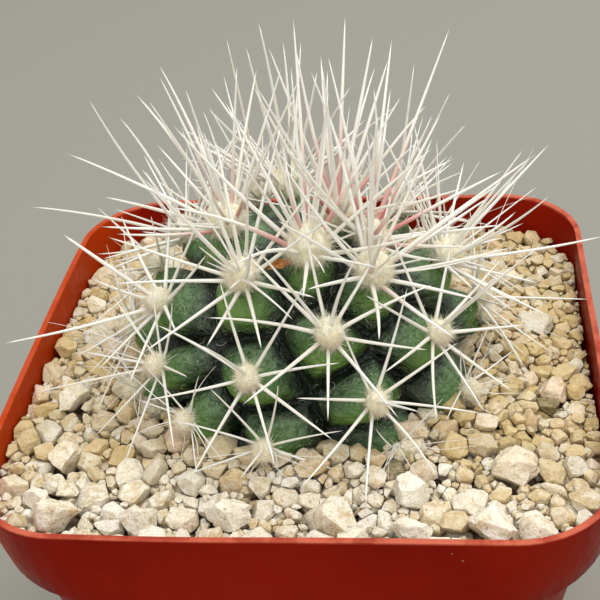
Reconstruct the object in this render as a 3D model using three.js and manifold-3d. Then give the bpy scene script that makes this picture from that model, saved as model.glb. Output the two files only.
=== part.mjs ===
// Potted round cactus: a tubercled, spiny globe in a square plastic nursery pot topped with
// crushed-stone gravel. Millimetres, +Z up. The origin is the centre of the pot's underside, which
// is the face that it stands on; X runs along the pot's front wall and Y runs to its back wall.
import * as THREE from 'three';
import { mergeVertices } from 'three/addons/utils/BufferGeometryUtils.js';
import Module from 'manifold-3d';

const wasm = await Module();
wasm.setup();

// Driving dimensions
const potHeight = 66;
const rimHalf = 37.5; // half the width across the rim
const collarDepth = 11; // the wider band below the rim
const wall = 0.9;
const floorThickness = 2;
const gap = 0.35; // clearance kept between touching pieces

const stem = {
  radius: 23, // at the widest, over the tubercle tips
  rise: 19, // from the widest level to the crown
  centre: new THREE.Vector3(0, 0, potHeight - 1.4),
  leanX: THREE.MathUtils.degToRad(2),
  leanY: THREE.MathUtils.degToRad(3.5),
  creaseAtCrown: 1.9,
  crease: 3.5, // depth of the creases between tubercles
  skirt: THREE.MathUtils.degToRad(125), // polar angle where the globe turns into its root
  root: [[2.2, 40.5], [5.5, 46], [11.5, 50]], // radius and height of the root, tip first
};

// The tubercles follow one spiral from the crown down: each one turns by the golden angle.
const spiral = {
  first: 1,
  last: 48,
  azimuth: THREE.MathUtils.degToRad(351),
  turn: THREE.MathUtils.degToRad(137.4),
  polar: 0.255,
  offset: -1.5,
  power: 0.533,
};
// Tubercles that grew off the spiral: shift in azimuth and polar angle, in degrees.
const offSpiral = {
  1: [-114, 9.5], 2: [11, 5], 3: [-57, 2], 4: [-6, 1], 6: [10, 4], 7: [1, -7], 8: [-4, 7], 9: [8, 10],
  10: [-1, -2.3], 11: [-9, 1], 12: [2, 3], 13: [-10, 2], 14: [2, -7], 15: [3, 0], 18: [-8, 2],
  21: [12, -2], 23: [-9, 7], 26: [8, 0], 28: [-2, -3.5], 31: [11, 0],
};

// Cushion radius of a young areole, of the two buds at the crown, and from the settled age on.
const wool = { young: 2.6, bud: 1.95, old: 1.6, settled: 10 };
// Spines end near a sphere about the stem's centre: reach is its least and largest radius.
const spine = { base: 0.34, sides: 3, clearance: 0.1, reach: [36.5, 41.3] };

// The longest spines of some areoles, which make the spray's outline: spin and rise in degrees,
// and length. Spin 0 points down the stem and half a turn to the crown.
const outlineSpines = {
  1: [[260, 50, 24], [275, 62, 21]], 2: [[190, 40, 26]], 3: [[262, 45, 26.5], [245, 35, 25]],
  4: [[12, 40, 21], [50, 60, 18.5], [75, 65, 20]], 5: [[276, 28, 23]], 6: [[190, 65, 21.5], [150, 55, 16]],
  8: [[285, 65, 18], [355, 48, 19]], 9: [[280, 46, 21], [210, 66, 22]],
  11: [[146, 58, 18], [125, 52, 16]], 12: [[18, 35, 21], [81, 43, 16]], 14: [[188, 48, 24]],
  20: [[50, 31, 18]], 21: [[48, 65, 14]],
};

const gravel = {
  bottom: 50.3,
  centreLevel: potHeight - 4.3,
  fallToBack: 0.035, // drop per millimetre towards the back wall
  mound: 1.4, // rise against the stem
  moundWidth: 8,
  bump: 0.7,
};
const mixTop = gravel.bottom - gap;

// A small generator of repeatable numbers from 0 to 1.
function randomFrom(seed) {
  let state = seed;
  return () => {
    state = (Math.imul(state, 1664525) + 1013904223) >>> 0;
    return state / 4294967296;
  };
}

function lerp(a, b, t) {
  return a + (b - a) * t;
}

function meshOf(name, geometry, color, roughness) {
  const material = new THREE.MeshStandardMaterial({ color, roughness, metalness: 0 });
  const mesh = new THREE.Mesh(geometry, material);
  mesh.name = name;
  return mesh;
}

// --- Solids ------------------------------------------------------------------------------------

// A closed skin over a stack of rings that all have the same number of points. The first and the
// last ring are closed with a fan to their own centres.
function loft(rings) {
  const count = rings[0].length;
  const positions = [];
  const faces = [];
  for (const ring of rings) {
    for (const point of ring) {
      positions.push(point.x, point.y, point.z);
    }
  }
  for (let level = 0; level + 1 < rings.length; level++) {
    for (let i = 0; i < count; i++) {
      const a = level * count + i;
      const b = level * count + ((i + 1) % count);
      faces.push(a, b, b + count, a, b + count, a + count);
    }
  }
  for (const end of [0, rings.length - 1]) {
    const centre = new THREE.Vector3();
    for (const point of rings[end]) {
      centre.addScaledVector(point, 1 / count);
    }
    const hub = positions.length / 3;
    positions.push(centre.x, centre.y, centre.z);
    for (let i = 0; i < count; i++) {
      const a = end * count + i;
      const b = end * count + ((i + 1) % count);
      faces.push(...(end === 0 ? [b, a, hub] : [a, b, hub]));
    }
  }
  const geometry = new THREE.BufferGeometry();
  geometry.setAttribute('position', new THREE.Float32BufferAttribute(positions, 3));
  geometry.setIndex(faces);
  return geometry;
}

function solidOf(geometry) {
  const bare = geometry.clone();
  bare.deleteAttribute('normal');
  bare.deleteAttribute('uv');
  const merged = mergeVertices(bare, 1e-4);
  return new wasm.Manifold(new wasm.Mesh({
    numProp: 3,
    vertProperties: new Float32Array(merged.attributes.position.array),
    triVerts: new Uint32Array(merged.index.array),
  }));
}

function geometryOf(solid) {
  const mesh = solid.getMesh();
  const geometry = new THREE.BufferGeometry();
  geometry.setAttribute('position', new THREE.Float32BufferAttribute(mesh.vertProperties, 3));
  geometry.setIndex(Array.from(mesh.triVerts));
  return geometry;
}

// --- Pot ---------------------------------------------------------------------------------------

// One level of a square with rounded corners.
function squareRing(half, corner, z) {
  const cornerSteps = 7;
  const ring = [];
  const reach = half - corner;
  for (const [sx, sy, start] of [[1, -1, -90], [1, 1, 0], [-1, 1, 90], [-1, -1, 180]]) {
    for (let step = 0; step <= cornerSteps; step++) {
      const angle = THREE.MathUtils.degToRad(start + (90 * step) / cornerSteps);
      ring.push(new THREE.Vector3(
        sx * reach + corner * Math.cos(angle), sy * reach + corner * Math.sin(angle), z));
    }
  }
  return ring;
}

const collarBottom = potHeight - collarDepth;
const bodyTop = { half: 35.2, corner: 15, z: collarBottom - 0.6 };
const bodyFoot = { half: 26, corner: 13, z: 0.8 };
const ledge = 1.6; // height of the slope between the body's wall and the collar's

// Half width and corner radius of the space inside the pot at a height.
function insideAt(z) {
  if (z >= collarBottom + ledge) {
    const up = (z - collarBottom - ledge) / (collarDepth - ledge);
    return { half: rimHalf - 0.1 - wall + 0.1 * up, corner: lerp(15.1, 10.9, up) };
  }
  const up = Math.min(z, collarBottom) / collarBottom;
  const half = lerp(bodyFoot.half, bodyTop.half, up) - wall;
  const corner = lerp(bodyFoot.corner, bodyTop.corner, up) - wall;
  const slope = Math.max(0, z - collarBottom) / ledge;
  return { half: lerp(half, rimHalf - 0.1 - wall, slope), corner: lerp(corner, 15.1, slope) };
}

function makePot() {
  const inner = [potHeight, collarBottom + ledge, collarBottom, floorThickness].map((z) => {
    const { half, corner } = insideAt(z);
    return squareRing(half, corner, z);
  });
  let pot = solidOf(loft([
    squareRing(bodyFoot.half - 0.8, bodyFoot.corner - 0.8, 0),
    squareRing(bodyFoot.half, bodyFoot.corner, bodyFoot.z),
    squareRing(bodyTop.half, bodyTop.corner, bodyTop.z),
    squareRing(rimHalf - 0.6, 15.8, collarBottom),
    squareRing(rimHalf - 0.1, 16.2, collarBottom + 0.5),
    squareRing(rimHalf, 11.8, potHeight),
    ...inner,
  ]));
  const drain = { radius: 3.5, fromCentre: 15, channelWidth: 5, channelDepth: 0.9 };
  for (let side = 0; side < 4; side++) {
    const turn = (side * Math.PI) / 2;
    const hole = new THREE.CylinderGeometry(drain.radius, drain.radius, 8, 20);
    hole.rotateX(Math.PI / 2);
    hole.translate(drain.fromCentre, 0, 0);
    hole.rotateZ(turn);
    const channel = new THREE.BoxGeometry(20, drain.channelWidth, 2 * drain.channelDepth);
    channel.translate(drain.fromCentre + 10, 0, 0);
    channel.rotateZ(turn);
    pot = pot.subtract(solidOf(hole)).subtract(solidOf(channel));
  }
  return meshOf('pot', geometryOf(pot), 0x9c2a12, 0.4);
}

// --- Stem --------------------------------------------------------------------------------------

const leaning = new THREE.Matrix4()
  .makeRotationX(stem.leanX)
  .multiply(new THREE.Matrix4().makeRotationY(stem.leanY));
const upright = leaning.clone().transpose();

function directionAt(polar, azimuth) {
  return new THREE.Vector3(
    Math.sin(polar) * Math.cos(azimuth), Math.sin(polar) * Math.sin(azimuth), Math.cos(polar));
}

// Where a direction from the stem's centre meets its surface, with 1 on the smooth globe.
function placeOnStem(direction, scale) {
  return new THREE.Vector3(direction.x * stem.radius, direction.y * stem.radius, direction.z * stem.rise)
    .multiplyScalar(scale)
    .applyMatrix4(leaning)
    .add(stem.centre);
}

function outwardAt(direction) {
  return new THREE.Vector3(
    direction.x / stem.radius, direction.y / stem.radius, direction.z / stem.rise)
    .normalize()
    .applyMatrix4(leaning);
}

const tubercles = [];
for (let age = spiral.first; age <= spiral.last; age++) {
  const [turn, drop] = offSpiral[age] ?? [0, 0];
  const azimuth = spiral.azimuth + spiral.turn * age + THREE.MathUtils.degToRad(turn);
  const polar = spiral.polar * Math.pow(Math.max(0, age + spiral.offset), spiral.power)
    + THREE.MathUtils.degToRad(drop);
  const direction = directionAt(polar, azimuth);
  tubercles.push({
    age, polar, azimuth, direction, tip: placeOnStem(direction, 1), outward: outwardAt(direction),
  });
}

// The stem's surface along a direction, as a share of the smooth globe: 1 on a tubercle's tip and
// less in the creases, which run halfway between neighbouring tips.
function tubercleScale(direction) {
  let nearest = Infinity;
  let second = Infinity;
  for (const tubercle of tubercles) {
    const distance = direction.distanceTo(tubercle.direction);
    if (distance < nearest) {
      second = nearest;
      nearest = distance;
    } else if (distance < second) {
      second = distance;
    }
  }
  const toCrease = 1 - (second - nearest) / (second + nearest);
  const dome = Math.sqrt(Math.max(0, 1 - toCrease * toCrease));
  const polar = Math.acos(THREE.MathUtils.clamp(direction.z, -1, 1));
  const depth = lerp(stem.creaseAtCrown, stem.crease, THREE.MathUtils.smoothstep(polar, 0.1, 0.9));
  return 1 - (depth * (1 - 0.75 * dome - 0.25 * (1 - toCrease))) / stem.radius;
}

// The whole stem with its root, grown outwards by an allowance.
function stemGeometry(allowance) {
  const around = 48;
  const down = 20;
  const rings = [];
  for (const [radius, z] of stem.root) {
    const ring = [];
    for (let i = 0; i < around; i++) {
      const outward = directionAt(Math.PI / 2, (2 * Math.PI * i) / around);
      ring.push(outward.multiplyScalar(radius + allowance).setZ(z - allowance));
    }
    rings.push(ring);
  }
  for (let level = 0; level < down; level++) {
    const ring = [];
    const polar = stem.skirt * (1 - level / down);
    for (let i = 0; i < around; i++) {
      const direction = directionAt(polar, (2 * Math.PI * i) / around);
      const scale = tubercleScale(direction) + allowance / stem.rise;
      ring.push(placeOnStem(direction, scale));
    }
    rings.push(ring);
  }
  return loft(rings);
}

function isClearOfStem(point, clearance) {
  const local = point.clone().sub(stem.centre).applyMatrix4(upright);
  const scaled = new THREE.Vector3(local.x / stem.radius, local.y / stem.radius, local.z / stem.rise);
  const reach = scaled.length();
  return reach > tubercleScale(scaled.divideScalar(reach)) + clearance / stem.rise;
}

// --- Soil and gravel ---------------------------------------------------------------------------

function gravelLevel(x, y) {
  const fromStem = (Math.hypot(x, y) - stem.radius) / gravel.moundWidth;
  return gravel.centreLevel - gravel.fallToBack * y + gravel.mound * Math.exp(-fromStem * fromStem);
}

function bumpyLevel(x, y) {
  const bumps = Math.sin(1.9 * x + 0.6 * y) * Math.sin(1.7 * y - 0.5 * x) + Math.sin(0.9 * x - 1.3 * y);
  return gravelLevel(x, y) + (gravel.bump * bumps) / 2;
}

function makePottingMix(grownStem) {
  const rings = [floorThickness + gap, mixTop].map((z) => {
    const { half, corner } = insideAt(z);
    return squareRing(half - gap, corner - gap, z);
  });
  const mix = solidOf(loft(rings)).subtract(grownStem);
  return meshOf('potting_mix', geometryOf(mix), 0x3a281b, 0.95);
}

// The looser crushed stone as one bed, with pockets for the stem and for the large stones.
function makeGravelBed(cutters) {
  const outline = [
    gravel.bottom, collarBottom - 0.2, collarBottom + ledge + 0.3, gravel.centreLevel - 2.2,
  ].map((z) => {
    const { half, corner } = insideAt(z);
    return squareRing(half - gap, corner - gap, z);
  });
  const edge = outline[outline.length - 1];
  const steps = 9;
  const top = [];
  for (let step = 0; step < steps; step++) {
    const share = 1 - step / steps;
    top.push(edge.map(({ x, y }) => new THREE.Vector3(
      x * share, y * share, bumpyLevel(x * share, y * share))));
  }
  let bed = solidOf(loft([...outline, ...top]));
  for (const cutter of cutters) {
    bed = bed.subtract(cutter);
  }
  return meshOf('gravel_bed', geometryOf(bed), 0xcdb891, 0.9);
}

// Larger stones lying on the bed: place, size, turn and tone.
const stones = [
  { x: -27, y: -31, size: [3.4, 2.6, 2.1], turn: 20, color: 0xd9d0bb },
  { x: -17, y: -32, size: [2.5, 2.2, 2], turn: 70, color: 0xcfa96e },
  { x: -6.5, y: -31, size: [3.3, 2.3, 2.2], turn: -15, color: 0xdccfae },
  { x: 5, y: -31.5, size: [3.9, 2.6, 2.4], turn: 8, color: 0xd6c8a4 },
  { x: 14.5, y: -27.5, size: [2.4, 2.5, 2.6], turn: 40, color: 0xe3dccb },
  { x: 14.5, y: -33, size: [2.6, 1.7, 1.6], turn: -30, color: 0xe0b896 },
  { x: 23.5, y: -32, size: [3.2, 2.2, 2], turn: 12, color: 0xe4ddcc },
  { x: 26, y: -22, size: [3.7, 2.7, 1.9], turn: -25, color: 0xe8e0cc },
  { x: 31.5, y: -8, size: [2.2, 1.9, 1.6], turn: 50, color: 0xe9e4d8 },
  { x: 30.5, y: 8, size: [3, 2.4, 1.8], turn: -10, color: 0xd9caa6 },
  { x: 27, y: 20, size: [2.6, 2.1, 1.7], turn: 35, color: 0xdcd3bd },
  { x: -28.5, y: -21, size: [2.9, 2.4, 2], turn: -40, color: 0xd3b47d },
  { x: -30.5, y: -9, size: [2.6, 2.2, 1.9], turn: 60, color: 0xd8ccb2 },
  { x: -31, y: 6, size: [2.8, 2, 1.7], turn: 15, color: 0xe2d9c4 },
  { x: -24, y: 23, size: [2.7, 2.3, 1.8], turn: -20, color: 0xd6c39b },
  { x: 3, y: 30.5, size: [3, 2.3, 1.9], turn: 30, color: 0xdcd2ba },
];

// An angular crushed stone: a ball flattened by a few fracture planes.
function stoneGeometry(stone, index, allowance) {
  const random = randomFrom(100 + index);
  const planes = [];
  for (let i = 0; i < 9; i++) {
    const normal = directionAt(Math.acos(1 - 2 * random()), 2 * Math.PI * random());
    planes.push({ normal, reach: 0.62 + 0.25 * random() });
  }
  const geometry = mergeVertices(
    new THREE.IcosahedronGeometry(1, 1).deleteAttribute('normal').deleteAttribute('uv'), 1e-4);
  const position = geometry.attributes.position;
  const corner = new THREE.Vector3();
  const [a, b, c] = stone.size.map((half) => half + allowance);
  const turn = THREE.MathUtils.degToRad(stone.turn);
  const base = gravelLevel(stone.x, stone.y) + 0.25 * stone.size[2];
  for (let i = 0; i < position.count; i++) {
    corner.fromBufferAttribute(position, i).normalize();
    for (const { normal, reach } of planes) {
      const over = corner.dot(normal) - reach;
      if (over > 0) {
        corner.addScaledVector(normal, -over);
      }
    }
    corner.multiply(new THREE.Vector3(a, b, c));
    corner.applyAxisAngle(new THREE.Vector3(0, 0, 1), turn);
    position.setXYZ(i, corner.x + stone.x, corner.y + stone.y, corner.z + base);
  }
  return geometry;
}

// --- Areoles -----------------------------------------------------------------------------------

// One tapered spine as a closed solid: a three-sided spike from its root to its point.
function spineGeometry({ start, end }) {
  const along = end.clone().sub(start).normalize();
  const side = new THREE.Vector3(0, 0, 1).cross(along);
  if (side.length() < 0.1) {
    side.set(1, 0, 0).cross(along);
  }
  side.normalize();
  const other = along.clone().cross(side);
  const positions = [];
  const faces = [];
  for (let i = 0; i < spine.sides; i++) {
    const angle = (2 * Math.PI * i) / spine.sides;
    const point = start.clone()
      .addScaledVector(side, spine.base * Math.cos(angle))
      .addScaledVector(other, spine.base * Math.sin(angle));
    positions.push(point.x, point.y, point.z);
    faces.push(i, (i + 1) % spine.sides, spine.sides);
  }
  positions.push(end.x, end.y, end.z);
  faces.push(0, 2, 1);
  const geometry = new THREE.BufferGeometry();
  geometry.setAttribute('position', new THREE.Float32BufferAttribute(positions, 3));
  geometry.setIndex(faces);
  return geometry;
}

// Room between two spines where they come closest, with their thickness there taken off.
function spaceBetween(a, b) {
  const onA = new THREE.Vector3();
  const onB = new THREE.Vector3();
  const distance = Math.sqrt(a.distanceSqToLine3(b, onA, onB));
  const thickA = spine.base * (1 - onA.distanceTo(a.start) / a.distance());
  const thickB = spine.base * (1 - onB.distanceTo(b.start) / b.distance());
  return distance - thickA - thickB;
}

function isInsidePotSpace(point) {
  if (point.z < bumpyLevel(point.x, point.y) + 0.6) {
    return false;
  }
  const nearWall = Math.max(Math.abs(point.x), Math.abs(point.y)) > rimHalf - wall - 0.9;
  return point.z > potHeight + 0.6 || !nearWall;
}

function isClearLine(line, own, areoles, spines, blockers) {
  const point = new THREE.Vector3();
  for (const share of [0.2, 0.35, 0.5, 0.65, 0.8, 0.9, 1]) {
    line.at(share, point);
    if (!isClearOfStem(point, 0.55) || !isInsidePotSpace(point)) {
      return false;
    }
    if (blockers.some(({ centre, radius }) => point.distanceTo(centre) < radius + 0.4)) {
      return false;
    }
  }
  for (const areole of areoles) {
    line.closestPointToPoint(areole.centre, true, point);
    if (areole !== own && point.distanceTo(areole.centre) < areole.radius * 1.1 + 0.5) {
      return false;
    }
  }
  return spines.every((other) => other.own === own || spaceBetween(line, other.line) > spine.clearance);
}

// The spines wanted on an areole of an age: radials in a star close to the skin, and longer
// centrals that stand out of the middle. Spin 0 points down the stem and half a turn to the crown.
function wantedSpines({ age }, random) {
  const youth = THREE.MathUtils.clamp((10 - age) / 8, 0, 1);
  const prime = Math.max(0, 1 - Math.abs(age - 10) / 6);
  const wanted = [];
  const radials = age < 8 ? 11 : age < 14 ? 9 : age < 26 ? 8 : 6;
  const radialLength = age < 26 ? lerp(12, 15, youth) : 8.5;
  for (let i = 0; i < radials; i++) {
    const spin = (2 * Math.PI * (i + 0.5 + 0.35 * (random() - 0.5))) / radials;
    const upward = (1 - Math.cos(spin)) / 2;
    const rise = lerp(15, 32, youth) + 24 * youth * upward + 8 * (random() - 0.5);
    const length = radialLength + (7 * youth + 3 * prime) * upward + 3.5 * (random() - 0.45);
    wanted.push({ spin, rise, length });
  }
  const outline = outlineSpines[age]?.length ?? 0;
  const centrals = (age < 7 ? 5 : age < 9 ? 4 : age < 15 ? 2 : age < 25 ? 1 : 0) - Math.min(1, outline);
  const centralLength = age < 15 ? lerp(18.5, 25, youth) : 12.5;
  for (let i = 0; i < centrals; i++) {
    const spin = Math.PI + (i - (centrals - 1) / 2) * 1.2 + 0.5 * (random() - 0.5);
    const rise = lerp(52, 84, random());
    wanted.push({ spin, rise, length: centralLength + 4.5 * random() });
  }
  return wanted;
}

// The length at which a line from a root leaves the sphere about the stem's centre.
function lengthToSphere(root, along, radius) {
  const fromCentre = root.clone().sub(stem.centre);
  const ahead = fromCentre.dot(along);
  return Math.sqrt(ahead * ahead - fromCentre.lengthSq() + radius * radius) - ahead;
}

function spineLine(areole, { spin, rise, length, reach }) {
  const up = new THREE.Vector3(0, 0, 1);
  up.addScaledVector(areole.outward, -up.dot(areole.outward)).normalize();
  const aside = areole.outward.clone().cross(up);
  const lift = THREE.MathUtils.degToRad(rise);
  const along = up.clone().multiplyScalar(-Math.cos(spin))
    .addScaledVector(aside, Math.sin(spin))
    .multiplyScalar(Math.cos(lift))
    .addScaledVector(areole.outward, Math.sin(lift));
  const root = areole.centre.clone().addScaledVector(along, 0.25 * areole.radius);
  const kept = Math.min(length, lengthToSphere(root, along, reach));
  return new THREE.Line3(root, root.clone().addScaledVector(along, kept));
}

// Adds a spine to its areole, nudged until it keeps clear of everything else, or leaves it out.
function growSpine(areole, wanted, random, { areoles, spines, blockers }) {
  for (let attempt = 0; attempt < 70; attempt++) {
    const spread = attempt / 70;
    const line = spineLine(areole, {
      spin: wanted.spin + 0.7 * spread * (random() - 0.5),
      rise: wanted.rise + 30 * spread * (random() - 0.3),
      length: wanted.length * (1 - 0.3 * spread * random()),
      reach: wanted.reach ?? lerp(...spine.reach, random()),
    });
    if (isClearLine(line, areole, areoles, spines, blockers)) {
      areole.spines.push(line);
      spines.push({ line, own: areole });
      return;
    }
  }
}

function growSpines(areoles, blockers) {
  const random = randomFrom(7);
  const spines = [];
  for (const areole of areoles) {
    areole.spines = [];
    for (const [spin, rise, length] of outlineSpines[areole.age] ?? []) {
      const wanted = { spin: THREE.MathUtils.degToRad(spin), rise, length, reach: 44 };
      growSpine(areole, wanted, random, { areoles, spines, blockers });
    }
  }
  for (const areole of areoles) {
    for (const wanted of wantedSpines(areole, random)) {
      growSpine(areole, wanted, random, { areoles, spines, blockers });
    }
  }
}

// The woolly cushion that the spines grow from.
function cushionGeometry(areole, allowance) {
  const cushion = new THREE.IcosahedronGeometry(1.06, 0);
  const radius = areole.radius + allowance;
  cushion.scale(radius, radius, 0.8 * radius);
  const turned = new THREE.Quaternion().setFromUnitVectors(new THREE.Vector3(0, 0, 1), areole.outward);
  cushion.applyQuaternion(turned);
  cushion.translate(...areole.centre.toArray());
  return cushion;
}

function makeAreole(areole, index, grownStem) {
  let cluster = solidOf(cushionGeometry(areole, 0));
  for (const line of areole.spines) {
    cluster = cluster.add(solidOf(spineGeometry(line)));
  }
  cluster = cluster.subtract(grownStem);
  const name = `areole_${String(index + 1).padStart(2, '0')}`;
  return meshOf(name, geometryOf(cluster), 0xeee6d2, 0.8);
}

// --- Assembly ----------------------------------------------------------------------------------

// A dried scrap of an old flower, caught between two young tubercles.
function makeDriedScrap(grownStem) {
  const host = tubercles.find(({ age }) => age === 2);
  const beside = tubercles.find(({ age }) => age === 7);
  const between = host.direction.clone().lerp(beside.direction, 0.45).normalize();
  const scrap = new THREE.IcosahedronGeometry(1, 1);
  scrap.scale(0.6, 1.7, 0.6);
  scrap.rotateZ(THREE.MathUtils.degToRad(70));
  scrap.translate(...placeOnStem(between, 0.985).toArray());
  return meshOf('dried_flower_scrap', geometryOf(solidOf(scrap).subtract(grownStem)), 0xa9671f, 0.7);
}

const grownStem = solidOf(stemGeometry(gap + 0.1));
const areoles = tubercles
  .filter(({ tip }) => tip.z > gravelLevel(tip.x, tip.y) - 0.3)
  .map((tubercle) => {
    const settled = THREE.MathUtils.clamp((tubercle.age - 2) / wool.settled, 0, 1);
    const isBud = tubercle.age === 1 || tubercle.age === 3;
    const radius = isBud ? wool.bud : lerp(wool.young, wool.old, settled);
    const centre = tubercle.tip.clone().addScaledVector(tubercle.outward, 0.45 * radius);
    return { ...tubercle, radius, centre };
  });
const blockers = stones.map((stone) => ({
  centre: new THREE.Vector3(stone.x, stone.y, gravelLevel(stone.x, stone.y) + 0.25 * stone.size[2]),
  radius: Math.max(...stone.size),
}));
growSpines(areoles, blockers);

const inGravel = areoles.filter(({ centre }) => centre.z < gravelLevel(centre.x, centre.y) + 4);
const bedCutters = [
  grownStem,
  ...stones.map((stone, index) => solidOf(stoneGeometry(stone, index, gap))),
  ...inGravel.map((areole) => solidOf(cushionGeometry(areole, gap))),
];

const cactus = new THREE.Group();
cactus.add(makePot());
cactus.add(makePottingMix(grownStem));
cactus.add(makeGravelBed(bedCutters));
stones.forEach((stone, index) => {
  const name = `stone_${String(index + 1).padStart(2, '0')}`;
  cactus.add(meshOf(name, stoneGeometry(stone, index, 0), stone.color, 0.85));
});
cactus.add(meshOf('cactus_stem', stemGeometry(0), 0x2f5a30, 0.5));
cactus.add(makeDriedScrap(grownStem));
areoles.forEach((areole, index) => cactus.add(makeAreole(areole, index, grownStem)));

export default cactus;
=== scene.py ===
import bmesh
import bpy
import math
import numpy as np
from mathutils import Matrix, Vector, noise


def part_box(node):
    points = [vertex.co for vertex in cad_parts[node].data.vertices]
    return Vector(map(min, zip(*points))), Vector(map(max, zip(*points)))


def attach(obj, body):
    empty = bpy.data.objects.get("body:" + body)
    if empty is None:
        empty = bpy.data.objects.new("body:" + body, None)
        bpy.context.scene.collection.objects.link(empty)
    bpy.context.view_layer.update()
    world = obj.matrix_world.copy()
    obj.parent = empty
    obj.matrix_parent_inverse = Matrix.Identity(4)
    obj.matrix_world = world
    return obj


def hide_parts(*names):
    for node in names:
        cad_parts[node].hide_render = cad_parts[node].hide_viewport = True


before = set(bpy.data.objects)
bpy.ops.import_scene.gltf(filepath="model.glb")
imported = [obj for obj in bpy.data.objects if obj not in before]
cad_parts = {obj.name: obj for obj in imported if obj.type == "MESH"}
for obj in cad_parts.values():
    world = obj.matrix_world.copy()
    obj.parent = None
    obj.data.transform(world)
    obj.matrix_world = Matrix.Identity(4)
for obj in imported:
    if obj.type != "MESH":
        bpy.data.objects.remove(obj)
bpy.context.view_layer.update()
mm = 0.001
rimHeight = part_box("pot")[1].z
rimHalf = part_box("pot")[1].x
print("frame loaded")


# small helpers that several pieces use

def lerp(a, b, t):
    return a + (b - a) * t


def smoothStep(low, high, x):
    t = np.clip((x - low) / (high - low), 0, 1)
    return t * t * (3 - 2 * t)


def startPiece(name):
    # the object that the last operator added, named, and alone in the selection
    piece = bpy.context.object
    piece.name = name
    piece.data.name = name
    return piece


def deselectAll():
    if bpy.context.object and bpy.context.object.mode == "EDIT":
        bpy.ops.object.mode_set(mode="OBJECT")
    bpy.ops.object.select_all(action="DESELECT")


def makeActive(piece):
    deselectAll()
    piece.select_set(True)
    bpy.context.view_layer.objects.active = piece


def applyPlace(piece):
    makeActive(piece)
    bpy.ops.object.transform_apply(location=True, rotation=True, scale=True)


def applyModifier(piece, kind, **settings):
    makeActive(piece)
    modifier = piece.modifiers.new(kind.title(), kind)
    for key, value in settings.items():
        setattr(modifier, key, value)
    bpy.ops.object.modifier_apply(modifier=modifier.name)


def smoothByAngle(piece, degrees):
    makeActive(piece)
    bpy.ops.object.shade_smooth_by_angle(angle=math.radians(degrees))


def coordsOf(mesh):
    coords = np.zeros(len(mesh.vertices) * 3, np.float32)
    mesh.vertices.foreach_get("co", coords)
    return coords.reshape(-1, 3).astype(float)


def setCoords(mesh, coords):
    mesh.vertices.foreach_set("co", coords.astype(np.float32).ravel())
    mesh.update()


def setMask(mesh, name, values):
    # a number for each vertex that a material reads by its name
    layer = mesh.attributes.get(name) or mesh.attributes.new(name, "FLOAT", "POINT")
    layer.data.foreach_set("value", np.broadcast_to(values, len(mesh.vertices)).astype(np.float32))


def noiseAt(coords, size, seed=0.0):
    offset = Vector((seed, seed * 1.7, -seed))
    return np.array([noise.noise(Vector(p) / size + offset) for p in coords])


def joinPieces(pieces, name):
    deselectAll()
    for piece in pieces:
        piece.select_set(True)
    bpy.context.view_layer.objects.active = pieces[0]
    bpy.ops.object.join()
    return startPiece(name)


def finishPiece(piece, material, slot, *nodes):
    piece.data.materials.clear()
    piece.data.materials.append(material)
    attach(piece, "root")
    if nodes:
        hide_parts(*nodes)


# the camera stands in front, a little to the right, and looks down on the plant
camera = {
    "place": (20.17 * mm, -133.63 * mm, rimHeight + 96.68 * mm),
    "elevation": math.radians(33.83),
    "yaw": math.radians(8.88),
    "roll": math.radians(-5.61),
    "lens": 74.8,
}


def makeCamera():
    bpy.ops.object.camera_add()
    eye = bpy.context.object
    eye.name = "camera"
    pitch, yaw, roll = camera["elevation"], camera["yaw"], camera["roll"]
    back = Vector((math.sin(yaw) * math.cos(pitch), -math.cos(yaw) * math.cos(pitch), math.sin(pitch)))
    level = Vector((math.cos(yaw), math.sin(yaw), 0))
    upright = back.cross(level)
    right = level * math.cos(roll) + upright * math.sin(roll)
    up = upright * math.cos(roll) - level * math.sin(roll)
    turn = Matrix((right, up, back)).transposed().to_4x4()
    eye.matrix_world = Matrix.Translation(camera["place"]) @ turn
    eye.data.sensor_width = 36
    eye.data.lens = camera["lens"]
    eye.data.clip_start = 0.01
    eye.data.clip_end = 20
    bpy.context.scene.camera = eye


makeCamera()
print("camera placed")


# short ways to write shader nodes

def newMaterial(name):
    material = bpy.data.materials.new(name)
    material.use_nodes = True
    tree = material.node_tree
    shader = tree.nodes["Principled BSDF"]
    return material, tree, shader


def addNode(tree, kind, settings=None, **inputs):
    node = tree.nodes.new(kind)
    for key, value in (settings or {}).items():
        setattr(node, key, value)
    for key, value in inputs.items():
        socket = node.inputs[key.replace("_", " ")]
        if isinstance(value, bpy.types.NodeSocket):
            tree.links.new(value, socket)
        else:
            socket.default_value = value
    return node


def objectCoords(tree):
    return addNode(tree, "ShaderNodeTexCoord").outputs["Object"]


def attribute(tree, name):
    return addNode(tree, "ShaderNodeAttribute", {"attribute_name": name}).outputs["Fac"]


def mathNode(tree, operation, a, b=0.5, clamp=False):
    node = addNode(tree, "ShaderNodeMath", {"operation": operation, "use_clamp": clamp})
    for socket, value in zip(node.inputs, (a, b)):
        if isinstance(value, bpy.types.NodeSocket):
            tree.links.new(value, socket)
        else:
            socket.default_value = value
    return node.outputs[0]


def times(tree, a, b):
    return mathNode(tree, "MULTIPLY", a, b)


def remap(tree, value, low, high, toLow=0.0, toHigh=1.0):
    node = addNode(tree, "ShaderNodeMapRange", {"interpolation_type": "SMOOTHSTEP"})
    tree.links.new(value, node.inputs["Value"])
    for key, number in (("From Min", low), ("From Max", high), ("To Min", toLow), ("To Max", toHigh)):
        node.inputs[key].default_value = number
    return node.outputs["Result"]


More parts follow.
